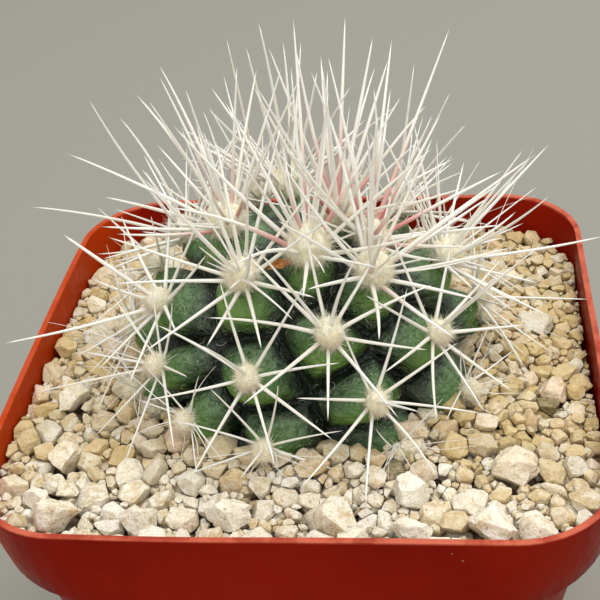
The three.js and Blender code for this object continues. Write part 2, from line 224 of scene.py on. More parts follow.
def mixColor(tree, factor, a, b, blend="MIX"):
    node = addNode(tree, "ShaderNodeMix", {"data_type": "RGBA", "blend_type": blend})
    sockets = [node.inputs["Factor"]] + [s for s in node.inputs if s.type == "RGBA"]
    for socket, value in zip(sockets, (factor, a, b)):
        if isinstance(value, bpy.types.NodeSocket):
            tree.links.new(value, socket)
        elif isinstance(value, tuple):
            socket.default_value = (*value, 1)
        else:
            socket.default_value = value
    return [s for s in node.outputs if s.type == "RGBA"][0]


def rampColor(tree, factor, stops):
    node = addNode(tree, "ShaderNodeValToRGB")
    tree.links.new(factor, node.inputs["Fac"])
    ramp = node.color_ramp
    while len(ramp.elements) < len(stops):
        ramp.elements.new(0.5)
    for element, (place, color) in zip(ramp.elements, stops):
        element.position = place
        element.color = (*color, 1)
    return node.outputs["Color"]


def noiseNode(tree, coords, size, detail=3.0, roughness=0.5):
    return addNode(tree, "ShaderNodeTexNoise", Vector=coords, Scale=1 / size, Detail=detail,
                   Roughness=roughness).outputs["Fac"]


def bumpNode(tree, height, distance, strength=1.0, normal=None):
    inputs = {"Height": height, "Distance": distance, "Strength": strength}
    if normal is not None:
        inputs["Normal"] = normal
    return addNode(tree, "ShaderNodeBump", **inputs).outputs["Normal"]


def newGroup(name, inputs, outputs):
    # a shader node group with named number inputs, and outputs that are masks or heights
    group = bpy.data.node_groups.new(name, "ShaderNodeTree")
    group.interface.new_socket("Coordinates", in_out="INPUT", socket_type="NodeSocketVector")
    for key, value in inputs.items():
        socket = group.interface.new_socket(key, in_out="INPUT", socket_type="NodeSocketFloat")
        socket.default_value = value
    for key in outputs:
        group.interface.new_socket(key, in_out="OUTPUT", socket_type="NodeSocketFloat")
    start = group.nodes.new("NodeGroupInput")
    end = group.nodes.new("NodeGroupOutput")
    return group, start, end


def useGroup(tree, group, coords, **inputs):
    node = tree.nodes.new("ShaderNodeGroup")
    node.node_tree = group
    tree.links.new(coords, node.inputs["Coordinates"])
    for key, value in inputs.items():
        node.inputs[key.replace("_", " ")].default_value = value
    return node


def makeSpeckGroup():
    # small scattered specks: dust on plastic, pale dots on skin, dark grains in stone
    group, start, end = newGroup("specks", {"Scale": 1000.0, "Size": 0.12, "Share": 0.3}, ["Mask"])
    cells = addNode(group, "ShaderNodeTexVoronoi", Vector=start.outputs["Coordinates"])
    group.links.new(start.outputs["Scale"], cells.inputs["Scale"])
    dots = mathNode(group, "LESS_THAN", cells.outputs["Distance"], start.outputs["Size"])
    tone = addNode(group, "ShaderNodeSeparateColor", Color=cells.outputs["Color"]).outputs[0]
    kept = mathNode(group, "LESS_THAN", tone, start.outputs["Share"])
    group.links.new(times(group, dots, kept), end.inputs["Mask"])
    return group


def makeGrainGroup():
    # a rough broken surface from three sizes of noise, as a height and as a cloudy mask
    group, start, end = newGroup("grain", {"Scale": 500.0}, ["Height", "Cloud"])
    total = None
    for share, weight in ((1.0, 0.55), (3.1, 0.3), (9.0, 0.15)):
        layer = addNode(group, "ShaderNodeTexNoise", Vector=start.outputs["Coordinates"], Detail=2.0)
        group.links.new(times(group, start.outputs["Scale"], share), layer.inputs["Scale"])
        part = times(group, layer.outputs["Fac"], weight)
        total = part if total is None else mathNode(group, "ADD", total, part)
    group.links.new(total, end.inputs["Height"])
    cloud = addNode(group, "ShaderNodeTexNoise", Vector=start.outputs["Coordinates"], Detail=4.0)
    group.links.new(times(group, start.outputs["Scale"], 0.35), cloud.inputs["Scale"])
    group.links.new(cloud.outputs["Fac"], end.inputs["Cloud"])
    return group


speckGroup = makeSpeckGroup()
grainGroup = makeGrainGroup()


# the pot is a rounded square raised level by level, outside up and inside down
pot = {
    "wall": 0.8 * mm, "collar": 11 * mm, "floor": 2 * mm, "ledge": 1.6 * mm,
    "footHalf": 26 * mm, "footCorner": 13 * mm,
    "bodyHalf": 35.2 * mm, "bodyCorner": 15 * mm,
    "collarCorner": 16.2 * mm, "rimCorner": 11.8 * mm,
    "cornerSteps": 14, "sideCuts": 11,
    "bow": 0.3 * mm, "wobble": 0.16 * mm,
    "drainRadius": 3.5 * mm, "drainPlace": 15 * mm, "channel": (5 * mm, 0.9 * mm),
}


def potLevels():
    # half width, corner radius and height of each level, from the foot up and down inside again
    low = rimHeight - pot["collar"]
    wall = pot["wall"]
    top, body = rimHalf, pot["bodyHalf"]
    insideTop = top - wall
    return [
        (pot["footHalf"] - 0.8 * mm, pot["footCorner"] - 0.8 * mm, 0),
        (pot["footHalf"], pot["footCorner"], 0.8 * mm),
        (lerp(pot["footHalf"], body, 0.5), lerp(pot["footCorner"], pot["bodyCorner"], 0.5), low / 2),
        (body, pot["bodyCorner"], low - 0.6 * mm),
        (top - 0.6 * mm, pot["collarCorner"] - 0.4 * mm, low),
        (top - 0.1 * mm, pot["collarCorner"], low + 0.5 * mm),
        (top - 0.05 * mm, 14.5 * mm, low + 4 * mm),
        (top - 0.02 * mm, 13 * mm, low + 7.5 * mm),
        (top - 0.05 * mm, 12 * mm, rimHeight - 1.1 * mm),
        (top, pot["rimCorner"], rimHeight - 0.5 * mm),
        (top, pot["rimCorner"], rimHeight),
        (insideTop, pot["rimCorner"] - wall, rimHeight),
        (insideTop, 12.6 * mm, rimHeight - 3 * mm),
        (insideTop - 0.1 * mm, 13.6 * mm, low + 4 * mm),
        (insideTop - 0.1 * mm, 15.1 * mm, low + pot["ledge"]),
        (body - wall, pot["bodyCorner"] - wall, low),
        (pot["footHalf"] - 0.6 * mm, pot["footCorner"] - wall, pot["floor"]),
    ]


def moveRing(vertices, old, new):
    # carries a ring of a rounded square to another width, corner and height
    for vertex in vertices:
        x, y = vertex.co.x, vertex.co.y
        reach, newReach = old[0] - old[1], new[0] - new[1]
        sideX, sideY = math.copysign(1, x), math.copysign(1, y)
        alongX, alongY = abs(x) - reach, abs(y) - reach
        if alongX > -1e-7 and alongY > -1e-7:
            angle = math.atan2(max(alongY, 0), max(alongX, 0))
            vertex.co.x = sideX * (newReach + new[1] * math.cos(angle))
            vertex.co.y = sideY * (newReach + new[1] * math.sin(angle))
        elif alongX > alongY:
            vertex.co.x = sideX * new[0]
            vertex.co.y = y * newReach / reach
        else:
            vertex.co.x = x * newReach / reach
            vertex.co.y = sideY * new[0]
        vertex.co.z = new[2]


def makePot():
    levels = potLevels()
    deselectAll()
    bpy.ops.mesh.primitive_plane_add(size=2 * levels[0][0])
    piece = startPiece("pot_shell")
    bpy.ops.object.mode_set(mode="EDIT")
    bpy.ops.mesh.bevel(offset=levels[0][1], offset_type="OFFSET", segments=pot["cornerSteps"],
                       affect="VERTICES")
    edit = bmesh.from_edit_mesh(piece.data)
    for edge in edit.edges:
        edge.select_set(edge.calc_length() > levels[0][1])
    bpy.ops.mesh.subdivide(number_cuts=pot["sideCuts"])
    bpy.ops.mesh.select_all(action="SELECT")
    for old, new in zip(levels, levels[1:]):
        bpy.ops.mesh.extrude_region_move(TRANSFORM_OT_translate={"value": (0, 0, 1 * mm)})
        edit = bmesh.from_edit_mesh(piece.data)
        moveRing([v for v in edit.verts if v.select], old, new)
        bmesh.update_edit_mesh(piece.data)
    bpy.ops.mesh.select_all(action="SELECT")
    bpy.ops.mesh.normals_make_consistent(inside=False)
    bpy.ops.object.mode_set(mode="OBJECT")
    cutDrains(piece)
    applyModifier(piece, "BEVEL", width=0.3 * mm, segments=3, limit_method="ANGLE",
                  angle_limit=math.radians(38))
    warpPot(piece.data)
    smoothByAngle(piece, 42)
    return piece


def cutDrains(piece):
    # four drain holes, each with a shallow channel to the pot's edge
    cutters = []
    for side in range(4):
        turn = Matrix.Rotation(side * math.pi / 2, 4, "Z")
        deselectAll()
        bpy.ops.mesh.primitive_cylinder_add(vertices=28, radius=pot["drainRadius"], depth=8 * mm,
                                            location=turn @ Vector((pot["drainPlace"], 0, 0)))
        cutters.append(bpy.context.object)
        width, depth = pot["channel"]
        bpy.ops.mesh.primitive_cube_add(size=1, location=turn @ Vector((pot["drainPlace"] + 10 * mm, 0, 0)),
                                        rotation=(0, 0, side * math.pi / 2),
                                        scale=(20 * mm, width, 2 * depth))
        cutters.append(bpy.context.object)
    for cutter in cutters:
        applyModifier(piece, "BOOLEAN", object=cutter, operation="DIFFERENCE", solver="EXACT")
        bpy.data.objects.remove(cutter)


def warpPot(mesh):
    # thin plastic is never quite flat: the walls bow out a little towards the rim and wave
    coords = coordsOf(mesh)
    height = coords[:, 2] / rimHeight
    for axis, other in ((0, 1), (1, 0)):
        along = np.clip(coords[:, other] / rimHalf, -1, 1)
        wave = noiseAt(coords, 22 * mm, 3.0 + axis) * pot["wobble"]
        push = (pot["bow"] * (1 - along ** 2) + wave) * np.clip(height, 0, 1) ** 2
        nearWall = smoothStep(0.55, 0.9, np.abs(coords[:, axis]) / rimHalf)
        coords[:, axis] += np.sign(coords[:, axis]) * push * nearWall
    coords[:, 2] += noiseAt(coords, 25 * mm, 9.0) * 0.2 * mm * smoothStep(0.85, 1.0, height)
    setCoords(mesh, coords)


def potMaterial():
    material, tree, shader = newMaterial("redPlastic")
    coords = objectCoords(tree)
    mottle = noiseNode(tree, coords, 14 * mm, 3, 0.55)
    base = mixColor(tree, remap(tree, mottle, 0.3, 0.7), (0.2, 0.0046, 0.0005), (0.245, 0.0085, 0.0007))
    height = addNode(tree, "ShaderNodeSeparateXYZ", Vector=coords).outputs["Z"]
    # the top of the lip is painted paler in patches: partly wear, partly a painted highlight
    rubbedAndLit = remap(tree, noiseNode(tree, coords, 3 * mm, 4, 0.6), 0.35, 0.6, 0.3, 0.75)
    lip = remap(tree, height, rimHeight - 0.35 * mm, rimHeight - 0.02 * mm)
    base = mixColor(tree, times(tree, lip, rubbedAndLit), base, (0.56, 0.14, 0.08))
    # painted light: the left wall is painted lighter and more orange, for the light it catches and lets
    # through the thin plastic
    side = addNode(tree, "ShaderNodeSeparateXYZ", Vector=coords).outputs["X"]
    litLeftWall = times(tree, remap(tree, side, -30 * mm, -36 * mm), 0.7)
    base = mixColor(tree, litLeftWall, base, (0.42, 0.04, 0.0))
    dust = useGroup(tree, speckGroup, coords, Scale=900.0, Size=0.14, Share=0.12).outputs["Mask"]
    patch = remap(tree, noiseNode(tree, coords, 6 * mm, 2), 0.5, 0.75)
    dusty = times(tree, times(tree, dust, patch), 0.55)
    base = mixColor(tree, dusty, base, (0.75, 0.55, 0.42))
    tree.links.new(base, shader.inputs["Base Color"])
    streaks = addNode(tree, "ShaderNodeMapping", Vector=coords, Scale=(1.0, 1.0, 0.12)).outputs["Vector"]
    scratch = noiseNode(tree, streaks, 0.9 * mm, 2, 0.6)
    rough = mathNode(tree, "ADD", remap(tree, scratch, 0.35, 0.7, 0.0, 0.12),
                     remap(tree, mottle, 0.3, 0.7, 0.3, 0.42))
    tree.links.new(rough, shader.inputs["Roughness"])
    peel = noiseNode(tree, coords, 0.7 * mm, 2)
    wave = bumpNode(tree, noiseNode(tree, coords, 9 * mm, 1), 0.35 * mm, 0.5)
    tree.links.new(bumpNode(tree, peel, 0.02 * mm, 0.6, wave), shader.inputs["Normal"])
    shader.inputs["Specular IOR Level"].default_value = 0.055
    return material


potShell = makePot()
finishPiece(potShell, potMaterial(), "pot", "pot")
print("pot made")


# the stem is a ball whose surface swells into tubercles set on one spiral
stem = {
    "radius": 23 * mm, "rise": 19 * mm, "centreHeight": rimHeight - 1.4 * mm,
    "leanX": math.radians(2), "leanY": math.radians(3.5),
    "creaseAtCrown": 2.9 * mm, "crease": 5.4 * mm,
    "chinDrop": 0.045, "chin": 0.7 * mm,
    "root": 24 * mm,
}
spiral = {
    "first": 1, "last": 48, "azimuth": math.radians(351), "turn": math.radians(137.4),
    "polar": 0.255, "offset": -1.5, "power": 0.533,
}
# tubercles that grew off the spiral: shift in azimuth and polar angle, in degrees
offSpiral = {
    1: (-114, 9.5), 2: (11, 5), 3: (-57, 2), 4: (-6, 1), 6: (10, 4), 7: (1, -7), 8: (-4, 7), 9: (8, 10),
    10: (-1, -2.3), 11: (-9, 1), 12: (2, 3), 13: (-10, 2), 14: (2, -7), 15: (3, 0), 18: (-8, 2),
    21: (12, -2), 23: (-9, 7), 26: (8, 0), 28: (-2, -3.5), 31: (11, 0),
}
gravel = {
    "centreLevel": rimHeight - 4.3 * mm, "fallToBack": 0.035, "mound": 1.4 * mm, "moundWidth": 8 * mm,
    "cell": 0.3 * mm, "depth": 3.0 * mm, "seed": 11,
    "tries": 16, "chipSize": 0.62, "shapes": 12, "grown": 1.3, "quartzShare": 0.42,
    "darkStones": [(30.4 * mm, -10.3 * mm), (12.2 * mm, -24.2 * mm), (27 * mm, 14 * mm)],
}
lean = Matrix.Rotation(stem["leanX"], 3, "X") @ Matrix.Rotation(stem["leanY"], 3, "Y")
stemCentre = Vector((0, 0, stem["centreHeight"]))


def directionAt(polar, azimuth):
    return Vector((math.sin(polar) * math.cos(azimuth), math.sin(polar) * math.sin(azimuth), math.cos(polar)))


def gravelLevel(x, y):
    fromStem = (np.hypot(x, y) - stem["radius"]) / gravel["moundWidth"]
    return gravel["centreLevel"] - gravel["fallToBack"] * y + gravel["mound"] * np.exp(-fromStem ** 2)


def makeTubercles():
    tubercles = []
    for age in range(spiral["first"], spiral["last"] + 1):
        turn, drop = offSpiral.get(age, (0, 0))
        azimuth = spiral["azimuth"] + spiral["turn"] * age + math.radians(turn)
        polar = spiral["polar"] * max(0, age + spiral["offset"]) ** spiral["power"] + math.radians(drop)
        direction = directionAt(polar, azimuth)
        size = Vector((stem["radius"], stem["radius"], stem["rise"]))
        tip = lean @ (direction * size) + stemCentre
        slope = Vector((direction.x / size.x, direction.y / size.y, direction.z / size.z))
        outward = (lean @ slope).normalized()
        chin = directionAt(polar + stem["chinDrop"] * min(1, polar / 0.5), azimuth)
        tubercles.append({"age": age, "direction": direction, "chin": chin, "tip": tip, "outward": outward})
    return tubercles


tubercles = makeTubercles()


def stemScale(directions):
    # share of the smooth ball's size in each direction, with masks for the skin's colours
    swell = np.array([t["chin"] for t in tubercles])
    areoleAt = np.array([t["direction"] for t in tubercles])
    distance = np.linalg.norm(directions[:, None, :] - swell[None], axis=2)
    order = np.argsort(distance, axis=1)[:, :3]
    rows = np.arange(len(directions))
    near = distance[rows, order[:, 0]]
    second = distance[rows, order[:, 1]]
    third = distance[rows, order[:, 2]]
    edge = (second - near) / (second + near)
    corner = (third - near) / (third + near)
    polar = np.arccos(np.clip(directions[:, 2], -1, 1))
    depth = lerp(stem["creaseAtCrown"], stem["crease"], smoothStep(0.1, 0.9, polar))
    # rounded at the crease, with the three-way corners pulled in a little deeper
    dome = np.sqrt(np.clip(1 - (1 - edge) ** 2.3, 0, 1)) * (0.84 + 0.16 * smoothStep(0, 0.35, corner))
    body = 0.74 * dome + 0.26 * smoothStep(0, 1, edge)
    local = directions - areoleAt[order[:, 0]]
    below = -(local[:, 2] / np.maximum(np.sin(polar), 0.25))
    chin = stem["chin"] * np.exp(-((below - 0.1) / 0.12) ** 2) * smoothStep(0.05, 0.5, edge)
    seat = 0.5 * mm * np.exp(-(np.linalg.norm(local, axis=1) / 0.075) ** 2)
    scale = 1 - (depth * (1 - body) - chin * smoothStep(0.3, 0.8, polar) + seat) / stem["radius"]
    return scale, edge, below, order[:, 0]


def makeStem():
    deselectAll()
    bpy.ops.mesh.primitive_ico_sphere_add(subdivisions=7, radius=1)
    piece = startPiece("stem_skin")
    directions = coordsOf(piece.data)
    directions /= np.linalg.norm(directions, axis=1)[:, None]
    scale, edge, below, host = stemScale(directions)
    coords = directions * np.array([stem["radius"], stem["radius"], stem["rise"]])
    bumps = noiseAt(coords, 5 * mm, 1.0) * 0.22 * mm + noiseAt(coords, 1.9 * mm, 5.0) * 0.07 * mm
    coords *= (scale + bumps / stem["radius"])[:, None]
    # below the gravel the ball draws in to its root
    polar = np.arccos(np.clip(directions[:, 2], -1, 1))
    rooted = smoothStep(math.radians(115), math.radians(180), polar)
    coords[:, :2] *= (1 - 0.55 * rooted)[:, None]
    coords[:, 2] -= rooted ** 2 * (stem["root"] - stem["rise"])
    coords = coords @ np.array(lean).T + np.array(stemCentre)
    setCoords(piece.data, coords)
    setMask(piece.data, "edge", edge)
    setMask(piece.data, "below", below)
    ages = np.array([t["age"] for t in tubercles])
    setMask(piece.data, "youth", np.clip(1 - (ages[host] - 2) / 30, 0, 1))
    makeActive(piece)
    bpy.ops.object.shade_smooth()
    return piece


def stemMaterial():
    material, tree, shader = newMaterial("cactusSkin")
    coords = objectCoords(tree)
    edge, below = attribute(tree, "edge"), attribute(tree, "below")
    cloud = noiseNode(tree, coords, 2.4 * mm, 5, 0.68)
    height = mathNode(tree, "ADD", edge, times(tree, mathNode(tree, "SUBTRACT", cloud, 0.5), 0.5))
    # painted shade: the ramp paints the creases between tubercles near-black, growing lighter towards their
    # tops
    green = rampColor(tree, height, [
        (0.0, (0.003, 0.007, 0.002)), (0.17, (0.008, 0.02, 0.006)),
        (0.42, (0.036, 0.098, 0.018)), (0.9, (0.1, 0.23, 0.042))])
    # the chin under each areole is a fresher green
    fresh = times(tree, remap(tree, below, 0.0, 0.2), remap(tree, height, 0.1, 0.5))
    green = mixColor(tree, times(tree, fresh, 0.8), green, (0.2, 0.37, 0.07))
    # a powdery grey bloom lies on the upper slopes, painted paler there too as a painted sheen where they
    # face the sky
    powder = remap(tree, noiseNode(tree, coords, 0.9 * mm, 7, 0.8), 0.4, 0.62)
    upper = times(tree, remap(tree, below, 0.07, -0.14), remap(tree, edge, 0.06, 0.4))
    bloomAndSheen = times(tree, times(tree, upper, powder), 0.6)
    green = mixColor(tree, bloomAndSheen, green, (0.26, 0.4, 0.22))
    # a painted highlight: a pale line follows each tubercle's border here and there
    near = mathNode(tree, "ABSOLUTE", mathNode(tree, "SUBTRACT", edge, 0.17))
    highlightLineAndMottle = times(tree, remap(tree, near, 0.018, 0.004),
                 remap(tree, noiseNode(tree, coords, 3.1 * mm, 3), 0.5, 0.62))
    green = mixColor(tree, times(tree, highlightLineAndMottle, 0.45), green, (0.2, 0.27, 0.13))
    specks = useGroup(tree, speckGroup, coords, Scale=1500.0, Size=0.13, Share=0.42).outputs["Mask"]
    patch = remap(tree, noiseNode(tree, coords, 2.6 * mm, 3), 0.4, 0.62)
    green = mixColor(tree, times(tree, times(tree, specks, patch), 0.75),
                     green, (0.72, 0.76, 0.62))
    dust = useGroup(tree, speckGroup, coords, Scale=3600.0, Size=0.2, Share=0.28).outputs["Mask"]
    green = mixColor(tree, times(tree, dust, 0.35), green, (0.42, 0.48, 0.36))
    tree.links.new(green, shader.inputs["Base Color"])
    rough = remap(tree, bloomAndSheen, 0.0, 0.6, 0.27, 0.58)
    tree.links.new(rough, shader.inputs["Roughness"])
    grain = useGroup(tree, grainGroup, coords, Scale=1300.0).outputs["Height"]
    flattened = addNode(tree, "ShaderNodeMapping", Vector=coords, Scale=(1.0, 1.0, 2.4)).outputs["Vector"]
    wrinkle = noiseNode(tree, flattened, 1.8 * mm, 2, 0.5)
    skin = bumpNode(tree, wrinkle, 1.2 * mm, 0.6)
    skin = bumpNode(tree, grain, 0.5 * mm, 0.8, skin)
    pores = addNode(tree, "ShaderNodeTexVoronoi", Vector=coords, Scale=3200.0).outputs["Distance"]
    tree.links.new(bumpNode(tree, pores, 0.09 * mm, 0.8, skin), shader.inputs["Normal"])
    shader.inputs["Subsurface Weight"].default_value = 0.06
    shader.inputs["Subsurface Radius"].default_value = (0.6 * mm, 1.2 * mm, 0.3 * mm)
    shader.inputs["Subsurface Scale"].default_value = 1.0
    shader.inputs["Specular IOR Level"].default_value = 0.5
    return material


lint = {"seed": 31, "count": 230, "lowest": rimHeight - 4 * mm, "reach": (0.25, 0.75), "curl": (1.5, 5.0),
        "lift": 0.07 * mm, "points": 9, "radius": 0.016 * mm}


def makeLint(mesh):
    # short curled hairs, shed by the wool, that cling to the skin
    random = np.random.default_rng(lint["seed"])
    coords = coordsOf(mesh)
    normals = np.array([v.normal for v in mesh.vertices])
    bare = np.nonzero(coords[:, 2] > lint["lowest"])[0]
    chosen = random.choice(bare, lint["count"])
    steps = np.linspace(0, 1, lint["points"])[:, None]
    paths = []
    for place, normal in zip(coords[chosen], normals[chosen]):
        side = np.cross(normal, random.normal(size=3))
        side /= np.linalg.norm(side)
        other = np.cross(normal, side)
        reach = random.uniform(*lint["reach"]) * mm
        angle = random.uniform(*lint["curl"]) * steps
        path = place + normal * lint["lift"] + reach * (np.sin(angle) * side + (1 - np.cos(angle)) * other)
        path += normal * 0.1 * mm * steps ** 2
        paths.append(path)
    return thinTubes("skin_lint", paths, lint["radius"] * random.uniform(0.7, 1.5, len(paths)))


stemSkin = makeStem()
finishPiece(stemSkin, stemMaterial(), "cactus_skin", "cactus_stem")
print("stem made")


# each areole is a cushion of wool and the spines that grow out of it
wool = {"young": 2.6 * mm, "bud": 1.95 * mm, "old": 1.6 * mm, "settled": 10,
        "fibre": 0.017 * mm, "fibres": 1250, "stand": 0.36}
spine = {"sides": 9, "rings": 10, "base": 0.3 * mm, "seed": 5, "taller": 1.06, "tallerUntil": 9}
bristle = {"count": 9, "untilAge": 9, "alsoAges": (11, 14), "rise": (18, 75), "length": (8, 15), "bow": 0.03}
hair = {"fromAge": 19, "count": 7, "rise": (12, 45), "length": (6, 12), "points": 12, "bend": 0.3,
        "droop": 0.08, "radius": 0.065 * mm, "clear": 1.2 * mm}


def thinTubes(name, paths, radius, sides=3):
    # many thin hairs in one mesh; every path has the same number of points and tapers to its end
    paths = np.asarray(paths, float)
    count, steps, _ = paths.shape
    along = np.gradient(paths, axis=1)
    along /= np.linalg.norm(along, axis=2, keepdims=True) + 1e-12
    helper = np.where(np.abs(along[..., 2:3]) < 0.8, [[[0, 0, 1.0]]], [[[1.0, 0, 0]]])
    side = np.cross(along, helper)
    side /= np.linalg.norm(side, axis=2, keepdims=True) + 1e-12
    other = np.cross(along, side)
    taper = (1 - np.linspace(0, 1, steps) ** 2 * 0.75)[None, :, None]
    radius = np.broadcast_to(radius, count)[:, None, None] * taper
    rings = []
    for i in range(sides):
        angle = 2 * math.pi * i / sides
        rings.append(paths + radius * (side * math.cos(angle) + other * math.sin(angle)))
    vertices = np.stack(rings, axis=2).reshape(-1, 3)
    base = (np.arange(count)[:, None, None] * steps + np.arange(steps - 1)[None, :, None]) * sides
    ring = np.arange(sides)[None, None, :]
    after = (ring + 1) % sides
    corners = [base + ring, base + ring + sides, base + after + sides, base + after]
    quads = np.stack(corners, axis=3).reshape(-1, 4)
    ends = np.arange(count)[:, None] * steps * sides
    first = ends + np.arange(sides)[None]
    last = ends + (steps - 1) * sides + np.arange(sides)[::-1][None]
    mesh = bpy.data.meshes.new(name)
    mesh.from_pydata(vertices.tolist(), [], quads.tolist() + first.tolist() + last.tolist())
    piece = bpy.data.objects.new(name, mesh)
    bpy.context.scene.collection.objects.link(piece)
    return piece


def turnTo(outward):
    return Vector((0, 0, 1)).rotation_difference(outward).to_matrix()


def areoleFrame(outward):
    # its columns point across the stem, down the stem and straight out
    down = (outward * outward.z - Vector((0, 0, 1))).normalized()
    return Matrix((down.cross(outward), down, outward)).transposed()


def makeWool(areole, index, random):
    radius = areole["radius"]
    turn = areoleFrame(areole["outward"])
    deselectAll()
    bpy.ops.mesh.primitive_ico_sphere_add(subdivisions=4, radius=1)
    core = startPiece("woolCore")
    coords = coordsOf(core.data)
    lumps = 0.94 + 0.16 * noiseAt(coords, 0.5, index * 3.1) + 0.13 * noiseAt(coords, 0.14, index + 7.0)
    full = np.interp(areole["age"], (2, 6, 14, 22, 30), (1.08, 1.04, 0.92, 0.8, 0.74)) * radius
    # older cushions are drawn out down the stem
    drawn = np.interp(areole["age"], (4, 9), (0, 1))
    ball = np.array([full * (1 - 0.1 * drawn), full * (1 + 0.14 * drawn), full])
    middle = np.array(areole["centre"] + areole["outward"] * wool["stand"] * radius)
    coords[:, [0, 2]] *= (1 - 0.3 * drawn * np.clip(coords[:, 1], 0, 1))[:, None]
    coords = coords * lumps[:, None] * ball @ np.array(turn).T + middle
    setCoords(core.data, coords)
    bpy.ops.object.shade_smooth()
    # fibres stand off the cushion in all directions and curl
    count = int(wool["fibres"] * (radius / wool["old"]) ** 1.3)
    direction = random.normal(size=(count, 3))
    direction[:, 2] = direction[:, 2] * 0.9 + 0.1
    direction /= np.linalg.norm(direction, axis=1)[:, None]
    reach = random.uniform(0.2, 1.0, (count, 1)) ** 1.8 * 0.62 * mm * (radius / wool["old"]) ** 0.6
    start = direction * ball * 0.84
    curl = random.normal(size=(count, 3)) * 0.6
    steps = np.linspace(0, 1, 4)[None, :, None]
    heading = direction + 0.3 * random.normal(size=(count, 3))
    path = start[:, None] + heading[:, None] * (0.14 * radius + reach[:, None]) * steps
    path = path + curl[:, None] * reach[:, None] * steps ** 2
    path = path @ np.array(turn).T + middle
    fibres = thinTubes("woolFibres", path, wool["fibre"] * random.uniform(0.8, 1.5, count))
    piece = joinPieces([core, fibres], f"wool_{index + 1:02d}")
    local = (coordsOf(piece.data) - middle) @ np.array(turn) / radius
    aged = np.interp(areole["age"], (3, 12), (0, 1))
    setMask(piece.data, "aged", aged * smoothStep(0.1, 1.1, local[:, 1]))
    return piece


def woolMaterial():
    material, tree, shader = newMaterial("creamWool")
    coords = objectCoords(tree)
    cloud = remap(tree, noiseNode(tree, coords, 0.9 * mm, 4, 0.6), 0.3, 0.7)
    color = mixColor(tree, cloud, (1.0, 0.89, 0.62), (1.0, 0.96, 0.76))
    color = mixColor(tree, times(tree, attribute(tree, "aged"), 0.6), color, (0.62, 0.46, 0.33))
    tree.links.new(color, shader.inputs["Base Color"])
    rough = remap(tree, cloud, 0.0, 1.0, 0.85, 0.97)
    tree.links.new(rough, shader.inputs["Roughness"])
    fluff = noiseNode(tree, coords, 0.2 * mm, 3, 0.7)
    tree.links.new(bumpNode(tree, fluff, 0.2 * mm, 0.55), shader.inputs["Normal"])
    shader.inputs["Sheen Weight"].default_value = 0.3
    shader.inputs["Specular IOR Level"].default_value = 0.2
    shader.inputs["Subsurface Weight"].default_value = 0.5
    shader.inputs["Subsurface Radius"].default_value = (0.7 * mm, 0.6 * mm, 0.45 * mm)
    shader.inputs["Subsurface Scale"].default_value = 1.0
    return material


def makeSpineTemplate():
    # one straight spine of unit length along Z, nearly even in thickness and then drawn to a point
    deselectAll()
    bpy.ops.mesh.primitive_cone_add(vertices=spine["sides"], radius1=1, radius2=0, depth=1,
                                    location=(0, 0, 0.5))
    piece = startPiece("spineTemplate")
    applyPlace(piece)
    bpy.ops.object.mode_set(mode="EDIT")
    for ring in range(1, spine["rings"]):
        bpy.ops.mesh.select_all(action="SELECT")
        bpy.ops.mesh.bisect(plane_co=(0, 0, ring / spine["rings"]), plane_no=(0, 0, 1))
    bpy.ops.object.mode_set(mode="OBJECT")
    coords = coordsOf(piece.data)
    left = np.clip(1 - coords[:, 2], 1e-6, 1)
    profile = (0.92 * left ** 0.45 + 0.08 * left ** 3.0) / left
    coords[:, :2] *= profile[:, None]
    setCoords(piece.data, coords)
    bpy.ops.object.shade_smooth()
    return piece


def cadSpines(node, centre, radius):
    # the CAD cluster's points that stand far out of its cushion are its spines' tips
    coords = np.unique(np.round(coordsOf(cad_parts[node].data), 5), axis=0)
    distance = np.linalg.norm(coords - np.array(centre), axis=1)
    return [Vector(p) for p in coords[distance > 2.2 * radius]]


def placeSpine(template, start, tip, thick, bow, random):
    piece = template.copy()
    piece.data = template.data.copy()
    bpy.context.scene.collection.objects.link(piece)
    coords = coordsOf(piece.data)
    along = coords[:, 2].copy()
    length = (tip - start).length
    side = np.array([random.normal(), random.normal()])
    side /= np.linalg.norm(side)
    coords[:, :2] *= thick
    coords[:, 2] *= length
    coords[:, :2] += (4 * along * (1 - along) * bow * length)[:, None] * side
    coords = coords @ np.array(turnTo((tip - start).normalized())).T + np.array(start)
    setCoords(piece.data, coords)
    setMask(piece.data, "along", along)
    return piece


def makeHairs(areole, random):
    # the oldest areoles keep thin, curved spines that droop
    count = hair["count"]
    turn = np.array(turnTo(areole["outward"]))
    spin = random.uniform(0, 2 * math.pi, count)
    rise = np.radians(random.uniform(*hair["rise"], count))
    heading = [np.cos(spin) * np.cos(rise), np.sin(spin) * np.cos(rise), np.sin(rise)]
    heading = np.stack(heading, axis=1) @ turn.T
    length = random.uniform(*hair["length"], (count, 1, 1)) * mm
    steps = np.linspace(0, 1, hair["points"])[None, :, None]
    bend = random.normal(size=(count, 1, 3)) * hair["bend"]
    bend[..., 2] -= hair["droop"]
    path = np.array(areole["centre"]) + heading[:, None] * length * steps + bend * length * steps ** 2
    level = gravelLevel(path[..., 0], path[..., 1]) + hair["clear"]
    path[..., 2] = np.maximum(path[..., 2], level)
    piece = thinTubes("hairs", path, hair["radius"] * random.uniform(0.7, 1.3, count), 5)
    for name, value in (("along", 0.5), ("blush", 0), ("tone", 0)):
        setMask(piece.data, name, value)
    return piece


